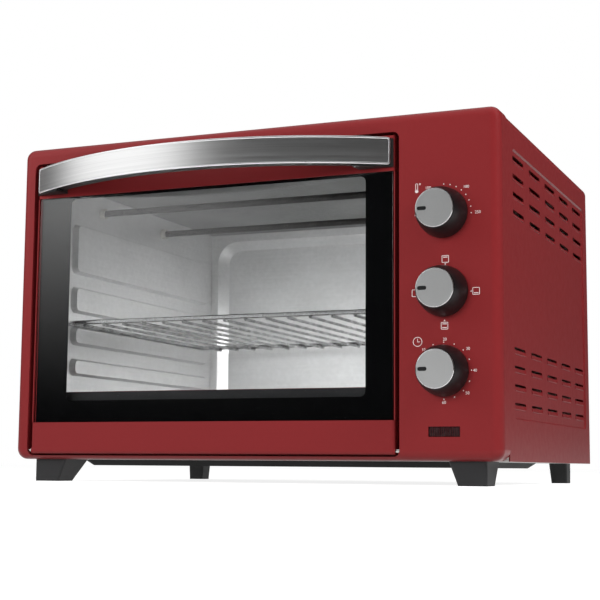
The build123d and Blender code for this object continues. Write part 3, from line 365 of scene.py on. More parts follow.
def rounded_outline(half_x, half_z, corner, steps):
    """Closed outline: a quarter circle about each inset corner, joined by straight runs.

    It runs anticlockwise. Returns the points and, for each, the outward direction there.
    """
    turn = np.linspace(0, math.pi / 2, steps)[None, :] + (math.pi / 2) * np.arange(4)[:, None]
    outward = np.stack([np.cos(turn), np.sin(turn)], -1)
    quarters = np.array([[1, 1], [-1, 1], [-1, -1], [1, -1]])
    centres = quarters * np.array([half_x - corner, half_z - corner])
    points = centres[:, None, :] + corner * outward
    return points.reshape(-1, 2), outward.reshape(-1, 2)


def around(steps):
    """Evenly spaced angles of a full turn."""
    return np.linspace(0, 2 * math.pi, steps, endpoint=False)


def circle_outline(radius, steps):
    """Closed circle: radius times the cosine and sine of evenly spaced angles."""
    turn = around(steps)
    return radius * np.stack([np.cos(turn), np.sin(turn)], -1)


def facing(outline, centre, y):
    """An outline's points set round a centre, upright and facing the user, at one depth."""
    placed = outline + np.array(centre)
    return np.stack([placed[:, 0], np.full(len(placed), y), placed[:, 1]], -1)


def plate(outline, centre, front_y, depth):
    """A flat closed plate: the outline at the front, the same outline behind it, and an edge."""
    count = len(outline)
    front = facing(outline, centre, front_y)
    points = np.vstack([front, front + np.array([0, depth, 0])])
    ring = np.arange(count)
    following = (ring + 1) % count
    edge = np.stack([ring, ring + count, following + count, following], -1)
    return points, [ring.tolist(), (ring[::-1] + count).tolist()] + edge.tolist()


def ring_plate(outer, inner, centre, front_y, depth):
    """A flat closed ring: four loops, outer and inner, front and back, joined all round."""
    back_y = front_y + depth
    loops = ((outer, front_y), (inner, front_y), (inner, back_y), (outer, back_y))
    points = np.vstack([facing(outline, centre, y) for outline, y in loops])
    return points, grid_faces(4, len(outer), wrap_rows=True, wrap_columns=True).tolist()


def gather(parts):
    """Several lots of points and faces as one, each lot's faces counted on from those before."""
    points, faces, start = [], [], 0
    for lot, lot_faces in parts:
        points.append(lot)
        faces += [[index + start for index in face] for face in lot_faces]
        start += len(lot)
    return np.vstack(points), faces


def vertices(mesh):
    """A mesh's points as rows of an array."""
    points = np.zeros(len(mesh.vertices) * 3)
    mesh.vertices.foreach_get("co", points)
    return points.reshape(-1, 3)


def new_object(name, data):
    """A new object at the origin, in the scene."""
    placed = bpy.data.objects.new(name, data)
    bpy.context.scene.collection.objects.link(placed)
    return placed


def make_piece(name, points, faces, material, body, slot, smooth=True):
    """A new piece that rides on a body, with the material given; its slot is not used."""
    mesh = bpy.data.meshes.new(name)
    mesh.from_pydata(points.tolist(), [], faces)
    mesh.validate()
    mesh.update()
    mesh.polygons.foreach_set("use_smooth", np.full(len(mesh.polygons), smooth))
    mesh.materials.append(material)
    piece = new_object(name, mesh)
    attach(piece, body)
    return piece


def lettering(text, size, centre, front_y, film):
    """The figures of a word as points and faces, centred on a place of the control face."""
    curve = bpy.data.curves.new(text, "FONT")
    curve.body = text
    curve.size = size
    curve.align_x = "CENTER"
    curve.align_y = "CENTER"
    curve.extrude = film / 2
    curve.resolution_u = 3
    typed = new_object(text, curve)
    bpy.context.view_layer.update()
    graph = bpy.context.evaluated_depsgraph_get()
    mesh = bpy.data.meshes.new_from_object(typed.evaluated_get(graph))
    x, z, depth = vertices(mesh).T
    faces = [list(polygon.vertices) for polygon in mesh.polygons]
    bpy.data.objects.remove(typed)
    bpy.data.curves.remove(curve)
    bpy.data.meshes.remove(mesh)
    return np.stack([x + centre[0], front_y + film / 2 - depth, z + centre[1]], -1), faces


# Materials

class Nodes:
    """Short ways to add nodes to one tree, of a material or of the world."""

    def __init__(self, tree):
        self.tree = tree

    def feed(self, node, name, value):
        """Gives one input of a node its fixed value, or a link from another node's output."""
        if isinstance(value, bpy.types.NodeSocket):
            self.tree.links.new(value, node.inputs[name])
        else:
            node.inputs[name].default_value = value

    def add(self, kind, inputs=None, **options):
        """A new node with these options and inputs."""
        node = self.tree.nodes.new(kind)
        for name, value in options.items():
            setattr(node, name, value)
        for name, value in (inputs or {}).items():
            self.feed(node, name, value)
        return node

    def spread(self, value, low, high, span=(0.3, 0.7)):
        """A pattern carried from its own span to the range wanted."""
        inputs = {"From Min": span[0], "From Max": span[1], "To Min": low, "To Max": high}
        return self.add("ShaderNodeMapRange", {"Value": value, **inputs}).outputs["Result"]

    def seen_directly(self):
        """1 for a ray from the camera, off metal or through glass, 0 for one that lights things."""
        rays = self.add("ShaderNodeLightPath").outputs
        direct = rays["Is Camera Ray"]
        for name in ("Is Glossy Ray", "Is Transmission Ray"):
            either = self.add("ShaderNodeMath", {0: direct, 1: rays[name]}, operation="MAXIMUM")
            direct = either.outputs[0]
        return direct

    def show(self, shader):
        """Sends a shader's output to the surface."""
        self.feed(self.tree.nodes["Material Output"], "Surface", shader.outputs[0])


class Finish(Nodes):
    """A material with one Principled shader, whose patterns read the piece's Object coordinates.

    A pattern's values run from 0 to 1, and lie mostly between 0.3 and 0.7.
    """

    def __init__(self, name):
        self.material = bpy.data.materials.new(name)
        self.material.use_nodes = True
        super().__init__(self.material.node_tree)
        self.shader = self.tree.nodes["Principled BSDF"]
        self.place = self.add("ShaderNodeTexCoord").outputs["Object"]

    def scaled(self, scale, centre=(0, 0, 0)):
        """Coordinates measured from a centre and stretched along each axis."""
        start = [-c * s for c, s in zip(centre, scale)]
        inputs = {"Vector": self.place, "Scale": scale, "Location": start}
        return self.add("ShaderNodeMapping", inputs).outputs["Vector"]

    def noise(self, scale, detail=2.0, roughness=0.5, place=None):
        """Cloudy pattern, about one cloud in 1 / scale metres."""
        inputs = {"Scale": scale, "Detail": detail, "Roughness": roughness}
        inputs["Vector"] = place or self.place
        return self.add("ShaderNodeTexNoise", inputs).outputs["Fac"]

    def mixed(self, first, second, share=0.5):
        """Two patterns averaged, the second with the share given."""
        inputs = {"Factor": share, "A": first, "B": second}
        return self.add("ShaderNodeMix", inputs, data_type="FLOAT").outputs["Result"]

    def paint(self, pattern, first, second):
        """Base colour between two, by a pattern."""
        inputs = {"Factor": pattern, "A": (*first, 1), "B": (*second, 1)}
        mix = self.add("ShaderNodeMix", inputs, data_type="RGBA")
        self.feed(self.shader, "Base Color", mix.outputs["Result"])

    def tint(self, pattern, colour, darker, lighter):
        """Base colour made darker where a pattern is low and lighter where it is high."""
        dark = [c * darker for c in colour]
        light = [min(1.0, c * lighter) for c in colour]
        self.paint(self.spread(pattern, 0, 1), dark, light)

    def gloss(self, pattern, low, high):
        """Roughness, from the first value where a pattern is low to the second where it is high."""
        self.feed(self.shader, "Roughness", self.spread(pattern, low, high))

    def fix(self, name, value):
        """Sets one of the shader's inputs, the same all over the piece."""
        self.feed(self.shader, name, value)

    def relief(self, height, strength, depth):
        """Small relief of the surface by a pattern, depth metres deep at full strength."""
        inputs = {"Strength": strength, "Distance": depth, "Height": height}
        self.feed(self.shader, "Normal", self.add("ShaderNodeBump", inputs).outputs["Normal"])


def enamel(name, paint):
    """Sprayed enamel: a faint ripple, slow changes of tone and a satin gloss that varies a bit."""
    finish = Finish(name)
    tone = finish.mixed(finish.noise(scale=6), finish.noise(scale=300))
    finish.tint(tone, paint.red, darker=0.965, lighter=1.03)
    cloud = finish.noise(scale=160, detail=3)
    finish.gloss(cloud, paint.roughness - 0.03, paint.roughness + 0.03)
    finish.fix("Specular IOR Level", 0.17)
    finish.relief(finish.noise(scale=1 / paint.peel, detail=1.5), strength=0.015, depth=0.0002)
    return finish.material


def brushed_steel(name, colour, along):
    """Steel brushed one way: fine lines along one axis in tone, gloss and relief."""
    finish = Finish(name)
    fine = finish.noise(scale=1, roughness=0.6, place=finish.scaled(along))
    wide = finish.noise(scale=1, place=finish.scaled([a * 0.16 for a in along]))
    lines = finish.mixed(fine, wide, share=0.4)
    finish.tint(lines, colour, darker=0.86, lighter=1.10)
    finish.gloss(lines, 0.30, 0.37)
    finish.fix("Metallic", 1.0)
    finish.relief(lines, strength=0.10, depth=0.00008)
    return finish.material


def turned_metal(name, colour, centre, roughness):
    """Metal turned on a lathe: fine rings about a centre on the control face, over a grain."""
    finish = Finish(name)
    flat = finish.scaled((1, 0, 1), centre)
    reach = finish.add("ShaderNodeVectorMath", {0: flat}, operation="LENGTH").outputs["Value"]
    inputs = {"Scale": 3800, "Detail": 2, "W": reach}
    rings = finish.add("ShaderNodeTexNoise", inputs, noise_dimensions="1D").outputs["Fac"]
    lines = finish.mixed(rings, finish.noise(scale=5200, detail=1), share=0.45)
    finish.tint(lines, colour, darker=0.86, lighter=1.12)
    finish.gloss(lines, roughness - 0.05, roughness + 0.07)
    finish.fix("Metallic", 1.0)
    finish.relief(lines, strength=0.22, depth=0.00005)
    return finish.material


def coated_sheet(name, colour, roughness, metallic=0.3):
    """Coated steel sheet: rolled lines, cloudy tone and small soft-edged grains of the coating."""
    finish = Finish(name)
    rolled = finish.noise(scale=1, roughness=0.6, place=finish.scaled((14, 14, 620)))
    cloud = finish.noise(scale=16, detail=4)
    inputs = {"Scale": 240, "Smoothness": 0.7, "Vector": finish.place}
    grains = finish.add("ShaderNodeTexVoronoi", inputs, feature="SMOOTH_F1").outputs["Distance"]
    tone = finish.mixed(finish.mixed(rolled, cloud, share=0.6), grains, share=0.22)
    finish.tint(tone, colour, darker=0.88, lighter=1.08)
    finish.gloss(tone, roughness + 0.07, roughness - 0.06)
    finish.fix("Metallic", metallic)
    finish.relief(rolled, strength=0.05, depth=0.0001)
    return finish.material


def bright_metal(name, colour, roughness):
    """Plated metal: bright, with faint clouds and hairlines in its gloss."""
    finish = Finish(name)
    cloud = finish.mixed(finish.noise(scale=60, detail=3), finish.noise(scale=1400), share=0.4)
    finish.tint(cloud, colour, darker=0.93, lighter=1.03)
    finish.gloss(cloud, roughness * 0.7, roughness * 1.5)
    finish.fix("Metallic", 1.0)
    finish.relief(finish.noise(scale=900), strength=0.03, depth=0.00005)
    return finish.material


def heated_sheath(name, colour):
    """Heater tube darkened by use: blotches of oxide, duller where they are darker."""
    finish = Finish(name)
    blotch = finish.noise(scale=55, detail=4, roughness=0.6)
    blotch = finish.mixed(blotch, finish.noise(scale=700), share=0.35)
    finish.tint(blotch, colour, darker=0.6, lighter=1.7)
    finish.gloss(blotch, 0.62, 0.40)
    finish.fix("Metallic", 0.7)
    finish.relief(finish.noise(scale=1600), strength=0.12, depth=0.0001)
    return finish.material


def moulded_plastic(name, colour, roughness, grain, depth=0.00008, specular=0.3):
    """Moulded plastic: an even spark-eroded grain, with slow changes of gloss."""
    finish = Finish(name)
    pits = finish.noise(scale=1 / grain)
    tone = finish.mixed(pits, finish.noise(scale=30, detail=3))
    finish.tint(tone, colour, darker=0.85, lighter=1.2)
    finish.gloss(tone, roughness - 0.05, roughness + 0.07)
    finish.fix("Specular IOR Level", specular)
    finish.relief(pits, strength=0.25, depth=depth)
    return finish.material


def glazed_ceramic(name, colour):
    """Ceramic bush: a smooth glaze over a speckled body."""
    finish = Finish(name)
    specks = finish.noise(scale=1900)
    finish.tint(specks, colour, darker=0.88, lighter=1.04)
    finish.gloss(finish.noise(scale=220), 0.22, 0.38)
    finish.relief(specks, strength=0.05, depth=0.00005)
    return finish.material


def printed_enamel(name, colour, roughness, specular):
    """Screen-printed ink: a flat tone with faint specks of the mesh it was pushed through."""
    finish = Finish(name)
    specks = finish.noise(scale=2600)
    finish.tint(specks, colour, darker=0.86, lighter=1.05)
    finish.gloss(specks, roughness, roughness + 0.06)
    finish.fix("Specular IOR Level", specular)
    finish.relief(specks, strength=0.02, depth=0.00002)
    return finish.material


def ribbed_lens(name, dark, light):
    """Dark signal lens: upright ribs inside and a clear gloss outside."""
    finish = Finish(name)
    inputs = {"Scale": 160, "Distortion": 0.3, "Vector": finish.place}
    options = {"wave_type": "BANDS", "bands_direction": "X"}
    ribs = finish.add("ShaderNodeTexWave", inputs, **options).outputs["Fac"]
    finish.paint(ribs, dark, light)
    finish.gloss(finish.noise(scale=300), 0.10, 0.20)
    finish.relief(ribs, strength=0.12, depth=0.0002)
    return finish.material


def clear_glass(name, tint, roughness=0.015):
    """Clear pane that lets lamplight through, with faint wiping marks in its gloss."""
    finish = Finish(name)
    finish.fix("Base Color", (*tint, 1))
    finish.fix("Transmission Weight", 1.0)
    finish.fix("IOR", 1.47)
    wiped = finish.noise(scale=1, detail=3, place=finish.scaled((26, 26, 5)))
    finish.gloss(wiped, roughness * 0.4, roughness * 1.8)
    through = finish.add("ShaderNodeBsdfTransparent", {"Color": (*tint, 1)})
    shadow = finish.add("ShaderNodeLightPath").outputs["Is Shadow Ray"]
    inputs = {"Fac": shadow, 1: finish.shader.outputs["BSDF"], 2: through.outputs["BSDF"]}
    finish.show(finish.add("ShaderNodeMixShader", inputs))
    return finish.material


def dress(material, *names):
    """Gives each of these nodes one material in every slot of its mesh."""
    for name in names:
        materials = nodes[name].data.materials
        if not materials:
            materials.append(material)
        for index in range(len(materials)):
            materials[index] = material


# Places read from the frame

def middle_of(node):
    """Middle of a node's box."""
    low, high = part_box(node)
    return (low + high) / 2


# Operators, one for each group of pieces

class OVEN_OT_case(bpy.types.Operator):
    """Paint the case, the door's sheets and the feet, and coat the base and the rear"""

    bl_idname = "oven.case"
    bl_label = "Case and Feet"

    def execute(self, context):
        scene = context.scene
        plastic = scene.oven_plastic
        red = enamel("red_enamel", scene.oven_paint)
        dress(red, "front_frame", "outer_cover")
        dress(red, "door_top_rail", "door_bottom_rail", "door_side_left", "door_side_right")
        base = coated_sheet("coated_base", scene.oven_metal.zinc, roughness=0.40)
        dress(base, "base_plate", "rear_cover", "heat_shield")
        pan = moulded_plastic(
            "black_pan", plastic.pan, roughness=0.60, grain=0.0009, specular=0.12
        )
        dress(pan, "underside_pan")
        feet = moulded_plastic(
            "black_feet", plastic.feet, roughness=0.52, grain=0.0006, depth=0.00012
        )
        dress(feet, *(name for name in nodes if name.startswith("foot_") and name != "foot_screws"))
        rubber = moulded_plastic("black_rubber", plastic.gland, roughness=0.62, grain=0.0005)
        dress(rubber, "cable_gland")
        white = moulded_plastic("white_moulding", plastic.terminals, roughness=0.45, grain=0.0007)
        dress(white, "terminal_block")
        return {"FINISHED"}


class OVEN_OT_vents(bpy.types.Operator):
    """Press an inward lip in the lower part of every slot of the side walls"""

    bl_idname = "oven.vents"
    bl_label = "Vent Lips"

    def execute(self, context):
        vents = context.scene.oven_vents
        low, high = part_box("outer_cover")
        columns = vents.first_column + vents.step * np.arange(vents.columns)
        group = vents.pitch * np.arange(vents.rows)
        groups = (
            (vents.top_row - group, vents.upper_lip_rise),
            (vents.low_row + group, vents.lower_lip_rise),
        )
        parts = []
        for face, inward in ((high.x - vents.field_depth, -1), (low.x + vents.field_depth, 1)):
            for rows, rise in groups:
                lip, faces = self.lip(vents, face, inward, rise)
                parts += [(lip + np.array([0, y, z]), faces) for y in columns for z in rows]
        points, faces = gather(parts)
        paint = nodes["outer_cover"].data.materials[0]
        lips = make_piece("vent_lips", points, faces, paint, "housing", "red_case")
        sheet = lips.modifiers.new("sheet", "SOLIDIFY")
        sheet.thickness = vents.lip_sheet
        sheet.offset = -1
        return {"FINISHED"}

    def lip(self, vents, face, inward, lip_rise, columns=29, rows=7):
        """One lip: from the slot's lower edge it rises with v from 0 to 1 and sinks inwards.

        Its depth is the lip's depth times sin(pi v / 2) times the square root of 1 - u^4, with u
        from -1 to 1 along the slot, so that it is joined to the sheet below and at both ends.
        """
        end = vents.height / 2
        straight = vents.length / 2 - end
        u = np.linspace(-0.999, 0.999, columns)[:, None]
        v = np.linspace(0, 1, rows)[None, :]
        y = u * vents.length / 2
        over = np.clip(np.abs(y) - straight, 0, end)
        bound = np.sqrt(end**2 - over**2)
        top = np.minimum(bound, lip_rise - end)
        rise = -bound + v * np.maximum(top + bound, 0)
        depth = vents.lip_depth * np.sin(math.pi * v / 2) * np.sqrt(1 - u**4)
        points = np.stack([face + inward * depth, y + 0 * v, rise], -1).reshape(-1, 3)
        faces = grid_faces(columns, rows)
        return points, (faces if inward < 0 else faces[:, ::-1]).tolist()


class OVEN_OT_small_metal(bpy.types.Operator):
    """Plate the pins, stays, nuts, shafts and clips, and cut the cross in each rear screw"""

    bl_idname = "oven.small_metal"
    bl_label = "Small Metal Parts"

    def execute(self, context):
        metal = context.scene.oven_metal
        zinc = bright_metal("zinc_plate", metal.zinc, roughness=0.24)
        dress(zinc, "hinge_pins", "door_stay_left", "door_stay_right", "control_nuts")
        dress(zinc, "foot_screws", "handle_screws", "glass_clips")
        dress(zinc, *(f"{control}_shaft" for control in CONTROLS))
        dress(bright_metal("bell_plate", metal.chrome, roughness=0.12), "timer_bell")
        switches = context.scene.oven_plastic.switches
        brown = moulded_plastic("brown_moulding", switches, roughness=0.45, grain=0.0006)
        dress(brown, *(f"{control}_control" for control in CONTROLS))
        self.cut_screws(zinc)
        return {"FINISHED"}

    def cut_screws(self, zinc):
        """Heads on a seat plane: each has the points and faces of one head round its own middle."""
        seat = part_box("rear_screws")[1].y - HEAD_HEIGHT
        head, faces = self.head()
        parts = [(head + np.array([x, seat, z]), faces) for x, z in self.screw_centres(seat)]
        heads = make_piece("rear_screw_heads", *gather(parts), zinc, "housing", "zinc")
        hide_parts("rear_screws")

    def head(self, rings=17, spokes=64):
        """One pan head: its height is the square root of 1 - r^4, less a notch along each arm.

        The notch is deepest at the middle and closes with the distance across an arm and along it.
        """
        share = np.linspace(0, 1, rings + 1)[1:]
        radius, angle = np.meshgrid(share * HEAD_RADIUS, around(spokes), indexing="ij")
        x, z = radius * np.cos(angle), radius * np.sin(angle)
        across = np.minimum(np.abs(x), np.abs(z))
        along = np.maximum(np.abs(x), np.abs(z))
        closed = np.clip(1 - across / CROSS_HALF, 0, 1) * np.clip(1 - along / CROSS_REACH, 0, 1)
        dome = HEAD_HEIGHT * np.sqrt(np.clip(1 - (radius / HEAD_RADIUS) ** 4, 0, 1))
        height = np.maximum(dome - CROSS_DEPTH * HEAD_HEIGHT * np.sqrt(closed), 0)
        top = np.stack([x, height, z], -1).reshape(-1, 3)
        middle = [[0, (1 - CROSS_DEPTH) * HEAD_HEIGHT, 0], [0, 0, 0]]
        step = np.arange(spokes)
        following = (step + 1) % spokes
        rim = (rings - 1) * spokes
        first, last = np.full(spokes, len(top)), np.full(spokes, len(top) + 1)
        faces = grid_faces(rings, spokes, wrap_columns=True)[:, ::-1].tolist()
        faces += np.stack([first, following, step], -1).tolist()
        faces += np.stack([last, step + rim, following + rim], -1).tolist()
        return np.vstack([top, middle]), faces

    def screw_centres(self, seat):
        """Middles of the screw heads: their mesh's points that stand out, gathered head by head."""
        points = vertices(nodes["rear_screws"].data)
        out = points[points[:, 1] > seat + 0.1 * MM][:, [0, 2]]
        centres = []
        while len(out):
            near = np.linalg.norm(out - out[0], axis=1) < 2.5 * HEAD_RADIUS
            centres.append((out[near].min(0) + out[near].max(0)) / 2)
            out = out[~near]
        return centres


class OVEN_OT_cooking_space(bpy.types.Operator):
    """Line the cooking space, darken the heaters and plate the rack"""

    bl_idname = "oven.cooking_space"
    bl_label = "Cooking Space"

    def execute(self, context):
        metal = context.scene.oven_metal
        lining = coated_sheet("oven_lining", metal.lining, roughness=0.34, metallic=0.5)
        dress(lining, "cavity_left_wall", "cavity_right_wall", "cavity_back_wall")
        # The ceiling's darker colour is painted shade; the floor's colour is only darker than the
        # lining's.
        for side in ("ceiling", "floor"):
            tone = getattr(metal, side)
            darker_sheet = coated_sheet(f"baked_{side}", tone, roughness=0.40, metallic=0.5)
            dress(darker_sheet, f"cavity_{side}")
        sheath = heated_sheath("heater_sheath", metal.sheath)
        dress(sheath, *(name for name in nodes if name.endswith("_heater")))
        bushes = context.scene.oven_plastic.bushes
        dress(glazed_ceramic("ceramic", bushes), "heater_bushes")
        self.lay_mouth_shade(context.scene)
        dress(bright_metal("rack_plate", metal.rack, roughness=0.24), "wire_rack")
        return {"FINISHED"}

    def lay_mouth_shade(self, scene, steps=12):
        """A thin dark ring round the mouth, painted shade for its shadowed border: two rounded
        outlines, joined front and back.
        """
        painted_ring = scene.oven_seal
        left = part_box("cavity_left_wall")[0].x
        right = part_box("cavity_right_wall")[1].x
        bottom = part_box("cavity_floor")[0].z + painted_ring.low_inset
        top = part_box("cavity_ceiling")[1].z - painted_ring.top_inset
        middle = ((left + right) / 2, (bottom + top) / 2)
        half_x, half_z = (right - left) / 2 - painted_ring.inset, (top - bottom) / 2
        width = painted_ring.width
        outer, _ = rounded_outline(half_x + width, half_z + width, painted_ring.corner + width, steps)
        inner, _ = rounded_outline(half_x, half_z, painted_ring.corner, steps)
        ring = ring_plate(outer, inner, middle, painted_ring.face, painted_ring.film)
        # Painted shade: the ring is dark to stand in for the shadow on the mouth's border.
        black = moulded_plastic("painted_mouth_shade", painted_ring.black, roughness=0.5, grain=0.0006)
        make_piece("mouth_shade_ring", *ring, black, "housing", "pan_black", smooth=False)


class OVEN_OT_door_glass(bpy.types.Operator):
    """Glaze the door and print the black border behind the glass"""

    bl_idname = "oven.door_glass"
    bl_label = "Door Glass"

    def execute(self, context):
        glass = context.scene.oven_glass
        steps = context.scene.oven_stage.steps
        dress(clear_glass("door_pane", glass.tint), "door_glass")
        low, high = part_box("door_glass")
        edge = glass.print_edge
        sheet = (low.x + edge, high.x - edge, low.z + edge, high.z - edge)
        window = (
            low.x + glass.window_side,
            high.x - glass.window_right,
            low.z + glass.window_low,
            high.z - glass.window_high,
        )
        outer = self.outline(sheet, glass.print_corner, steps)
        inner = self.outline(window, glass.window_corner, steps)
        ring = ring_plate(outer, inner, (0, 0), high.y + glass.print_gap, glass.print_film)
        black = printed_enamel("black_print", glass.print_black, roughness=0.5, specular=0.0)
        make_piece("glass_border_print", *ring, black, "door", "glass_clear", smooth=False)
        return {"FINISHED"}

    def outline(self, sides, corner, steps):
        """A rounded outline between a left, a right, a low and a high side."""
        left, right, low, high = sides
        outline, _ = rounded_outline((right - left) / 2, (high - low) / 2, corner, steps)
        return outline + np.array(((left + right) / 2, (low + high) / 2))


class OVEN_OT_handle(bpy.types.Operator):
    """Brush the handle's band, mould its grip and carry a rounded bright border round them"""

    bl_idname = "oven.handle"
    bl_label = "Handle"

    def execute(self, context):
        scene = context.scene
        band = brushed_steel("brushed_band", scene.oven_metal.steel, along=(9, 9, 2600))
        dress(band, "handle_band")
        grip = scene.oven_plastic.grip
        dress(moulded_plastic("black_grip", grip, roughness=0.40, grain=0.0007), "handle_grip")
        self.carry_border(scene)
        return {"FINISHED"}

    def carry_border(self, scene):
        """Border: a rounded section carried along a rounded outline, wrapped on the bow's cylinder.

        A point of the outline, moved outward by the section, is turned about the bow's axis by its
        length along the bow over the bow's radius, and sinks towards the axis by its own depth.
        """
        handle = scene.oven_handle
        low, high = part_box("handle_trim")
        middle = (low + high) / 2
        half = (high.x - low.x) / 2
        inset, half_depth = handle.border / 2, handle.border_depth / 2
        bow_radius = (half**2 + handle.bow**2) / (2 * handle.bow)
        half_length = bow_radius * math.asin(half / bow_radius)
        half_height = (high.z - low.z) / 2
        corner = handle.border_corner - inset
        outline = rounded_outline(
            half_length - inset, half_height - inset, corner, scene.oven_stage.steps
        )
        line, outward = self.filled(*outline, handle.border_points)
        section, _ = rounded_outline(inset, half_depth, handle.section_corner, steps=6)
        across = section[:, :1]
        reach = bow_radius - (half_depth - section[:, 1:])
        angle = (line[:, 0] + across * outward[:, 0]) / bow_radius
        x = middle.x + reach * np.sin(angle)
        y = low.y + bow_radius - reach * np.cos(angle)
        z = middle.z + (line[:, 1] + across * outward[:, 1])
        points = np.stack([x, y, z], -1).reshape(-1, 3)
        faces = grid_faces(len(section), len(line), wrap_rows=True, wrap_columns=True).tolist()
        chrome = bright_metal("border_chrome", scene.oven_metal.chrome, roughness=0.34)
        border = make_piece("handle_border", points, faces, chrome, "door", "trim_chrome")
        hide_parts("handle_trim")

    def filled(self, line, outward, count):
        """The outline with more points along its long runs, evenly spaced, so that it can bend."""
        closed = np.vstack([line, line[:1]])
        directions = np.vstack([outward, outward[:1]])
        lengths = np.linalg.norm(np.diff(closed, axis=0), axis=1)
        travelled = np.concatenate([[0], np.cumsum(lengths)])
        extra = np.linspace(0, travelled[-1], count, endpoint=False)
        places = np.union1d(travelled[:-1], extra)
        points = np.stack([np.interp(places, travelled, column) for column in closed.T], -1)
        sides = np.stack([np.interp(places, travelled, column) for column in directions.T], -1)
        return points, sides / np.linalg.norm(sides, axis=1, keepdims=True)


class OVEN_OT_knobs(bpy.types.Operator):
    """Mould the knobs, turn their caps and lay a bright ring round each cap"""

    bl_idname = "oven.knobs"
    bl_label = "Knobs"

    def execute(self, context):
        scene = context.scene
        metal = scene.oven_metal
        black = moulded_plastic("black_knob", scene.oven_plastic.knob, roughness=0.40, grain=0.0005)
        ring = bright_metal("cap_ring", metal.chrome, roughness=0.14)
        for control in CONTROLS:
            cap = f"{control}_cap"
            dress(black, f"{control}_knob")
            middle = middle_of(cap)
            dress(turned_metal(f"{cap}_turned", metal.aluminium, middle, roughness=0.38), cap)
            self.lay_ring(cap, ring, scene.oven_knobs)
        return {"FINISHED"}

    def lay_ring(self, cap, ring, knobs, columns=96, rows=10):
        """A thin bead: a small circle carried round the cap's edge, both angles evenly spaced."""
        low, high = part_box(cap)
        middle = (low + high) / 2
        bead = knobs.bead
        turn, bead_turn = around(columns)[None, :], around(rows)[:, None]
        reach = (high.x - low.x) / 2 - knobs.bead_inset + bead * np.cos(bead_turn)
        x = middle.x + reach * np.cos(turn)
        y = low.y + bead + bead * np.sin(bead_turn) + 0 * turn
        z = middle.z + reach * np.sin(turn)
        points = np.stack([x, y, z], -1).reshape(-1, 3)
        faces = grid_faces(rows, columns, wrap_rows=True, wrap_columns=True).tolist()
        make_piece(f"{cap}_ring", points, faces, ring, nodes[cap]["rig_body"], "cap_aluminium")


class OVEN_OT_dial_marks(bpy.types.Operator):
    """Print the dots, figures and small signs round the knobs"""

    bl_idname = "oven.dial_marks"
    bl_label = "Dial Marks"

    def execute(self, context):
        self.marks = context.scene.oven_print
        self.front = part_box("front_frame")[0].y - self.marks.film
        parts = self.scale("thermostat") + self.thermometer() + self.signs()
        parts += self.scale("timer") + self.clock()
        ink = printed_enamel("white_print", self.marks.white, roughness=0.45, specular=0.4)
        make_piece("dial_marks", *gather(parts), ink, "housing", "cap_aluminium", smooth=False)
        return {"FINISHED"}

    def place(self, control, right, up):
        """The place on the control face so many millimetres from a knob's axis."""
        middle = middle_of(f"{control}_cap")
        return middle.x + right * MM, middle.z + up * MM

    def flat(self, outline, centre):
        """A filled mark."""
        return plate(outline, centre, self.front, self.marks.film)

    def outlined(self, outer, inner, centre):
        """A mark that is an outline with a clear middle."""
        return ring_plate(outer, inner, centre, self.front, self.marks.film)

    def bar(self, centre, half_x, half_z):
        """A straight bar."""
        corners = np.array([[1, 1], [-1, 1], [-1, -1], [1, -1]]) * np.array([half_x, half_z])
        return self.flat(corners, centre)

    def arrow(self, centre, turn, size=0.9 * MM):
        """A small three-cornered pointer, turned from pointing up."""
        angles = turn + math.pi / 2 + np.arange(3) * 2 * math.pi / 3
        return self.flat(size * np.stack([np.cos(angles), np.sin(angles)], -1), centre)

    def scale(self, control):
        """Dots on a circle about a knob's axis, and the figures beside them."""
        radius, runs = DOTS[control]
        middle = middle_of(f"{control}_cap")
        parts = []
        for first, step, count in runs:
            turn = np.radians(first + step * np.arange(count))
            x = middle.x + radius * MM * np.sin(turn)
            z = middle.z + radius * MM * np.cos(turn)
            dot = circle_outline(self.marks.dot, 12)
            parts += [self.flat(dot, centre) for centre in np.stack([x, z], -1)]
        for text, right, up in FIGURES[control]:
            centre = self.place(control, right, up)
            parts.append(
                lettering(text, self.marks.figure, centre, self.front, self.marks.film)
            )
        return parts

    def thermometer(self):
        """A narrow tube over a bulb, with a small ring beside its top."""
        x, z = self.place("thermostat", -23.8, 23.6)
        line = self.marks.line
        half_x, half_z = 1.15 * MM, 3.2 * MM
        tube_outer, _ = rounded_outline(half_x, half_z, 1.1 * MM, steps=6)
        tube_inner, _ = rounded_outline(half_x - line, half_z - line, 0.6 * MM, steps=6)
        degree_outer, degree_inner = circle_outline(0.85 * MM, 16), circle_outline(0.45 * MM, 16)
        return [
            self.outlined(tube_outer, tube_inner, (x, z + 0.8 * MM)),
            self.outlined(degree_outer, degree_inner, (x + 2.9 * MM, z + 3.2 * MM)),
            self.flat(circle_outline(1.55 * MM, 12), (x, z - 3.0 * MM)),
        ]

    def signs(self, half=3.2 * MM):
        """Square outlines round the middle knob, each with its heavy lines and its pointer."""
        line = self.marks.line
        outer, _ = rounded_outline(half, half, 0.7 * MM, steps=4)
        inner, _ = rounded_outline(half - line, half - line, 0.3 * MM, steps=4)
        parts = []
        for place, top, bottom, turn, (right, up) in SIGNS:
            x, z = self.place("function", *place)
            parts.append(self.outlined(outer, inner, (x, z)))
            for wanted, side in ((top, 1), (bottom, -1)):
                if wanted:
                    level = z + side * (half - 3.2 * line)
                    parts.append(self.bar((x, level), half - 2.4 * line, 0.7 * line))
            parts.append(self.arrow((x + right * MM, z + up * MM), turn))
        return parts

    def clock(self, radius=4.2 * MM, steps=36):
        """A round outline with two hands."""
        x, z = self.place("timer", -23.4, 25.5)
        line = self.marks.line
        rim, inside = circle_outline(radius, steps), circle_outline(radius - line, steps)
        return [
            self.outlined(rim, inside, (x, z)),
            self.bar((x, z + 1.2 * MM), line / 2, 1.5 * MM),
            self.bar((x + 0.95 * MM, z - 0.1 * MM), 1.0 * MM, line / 2),
        ]


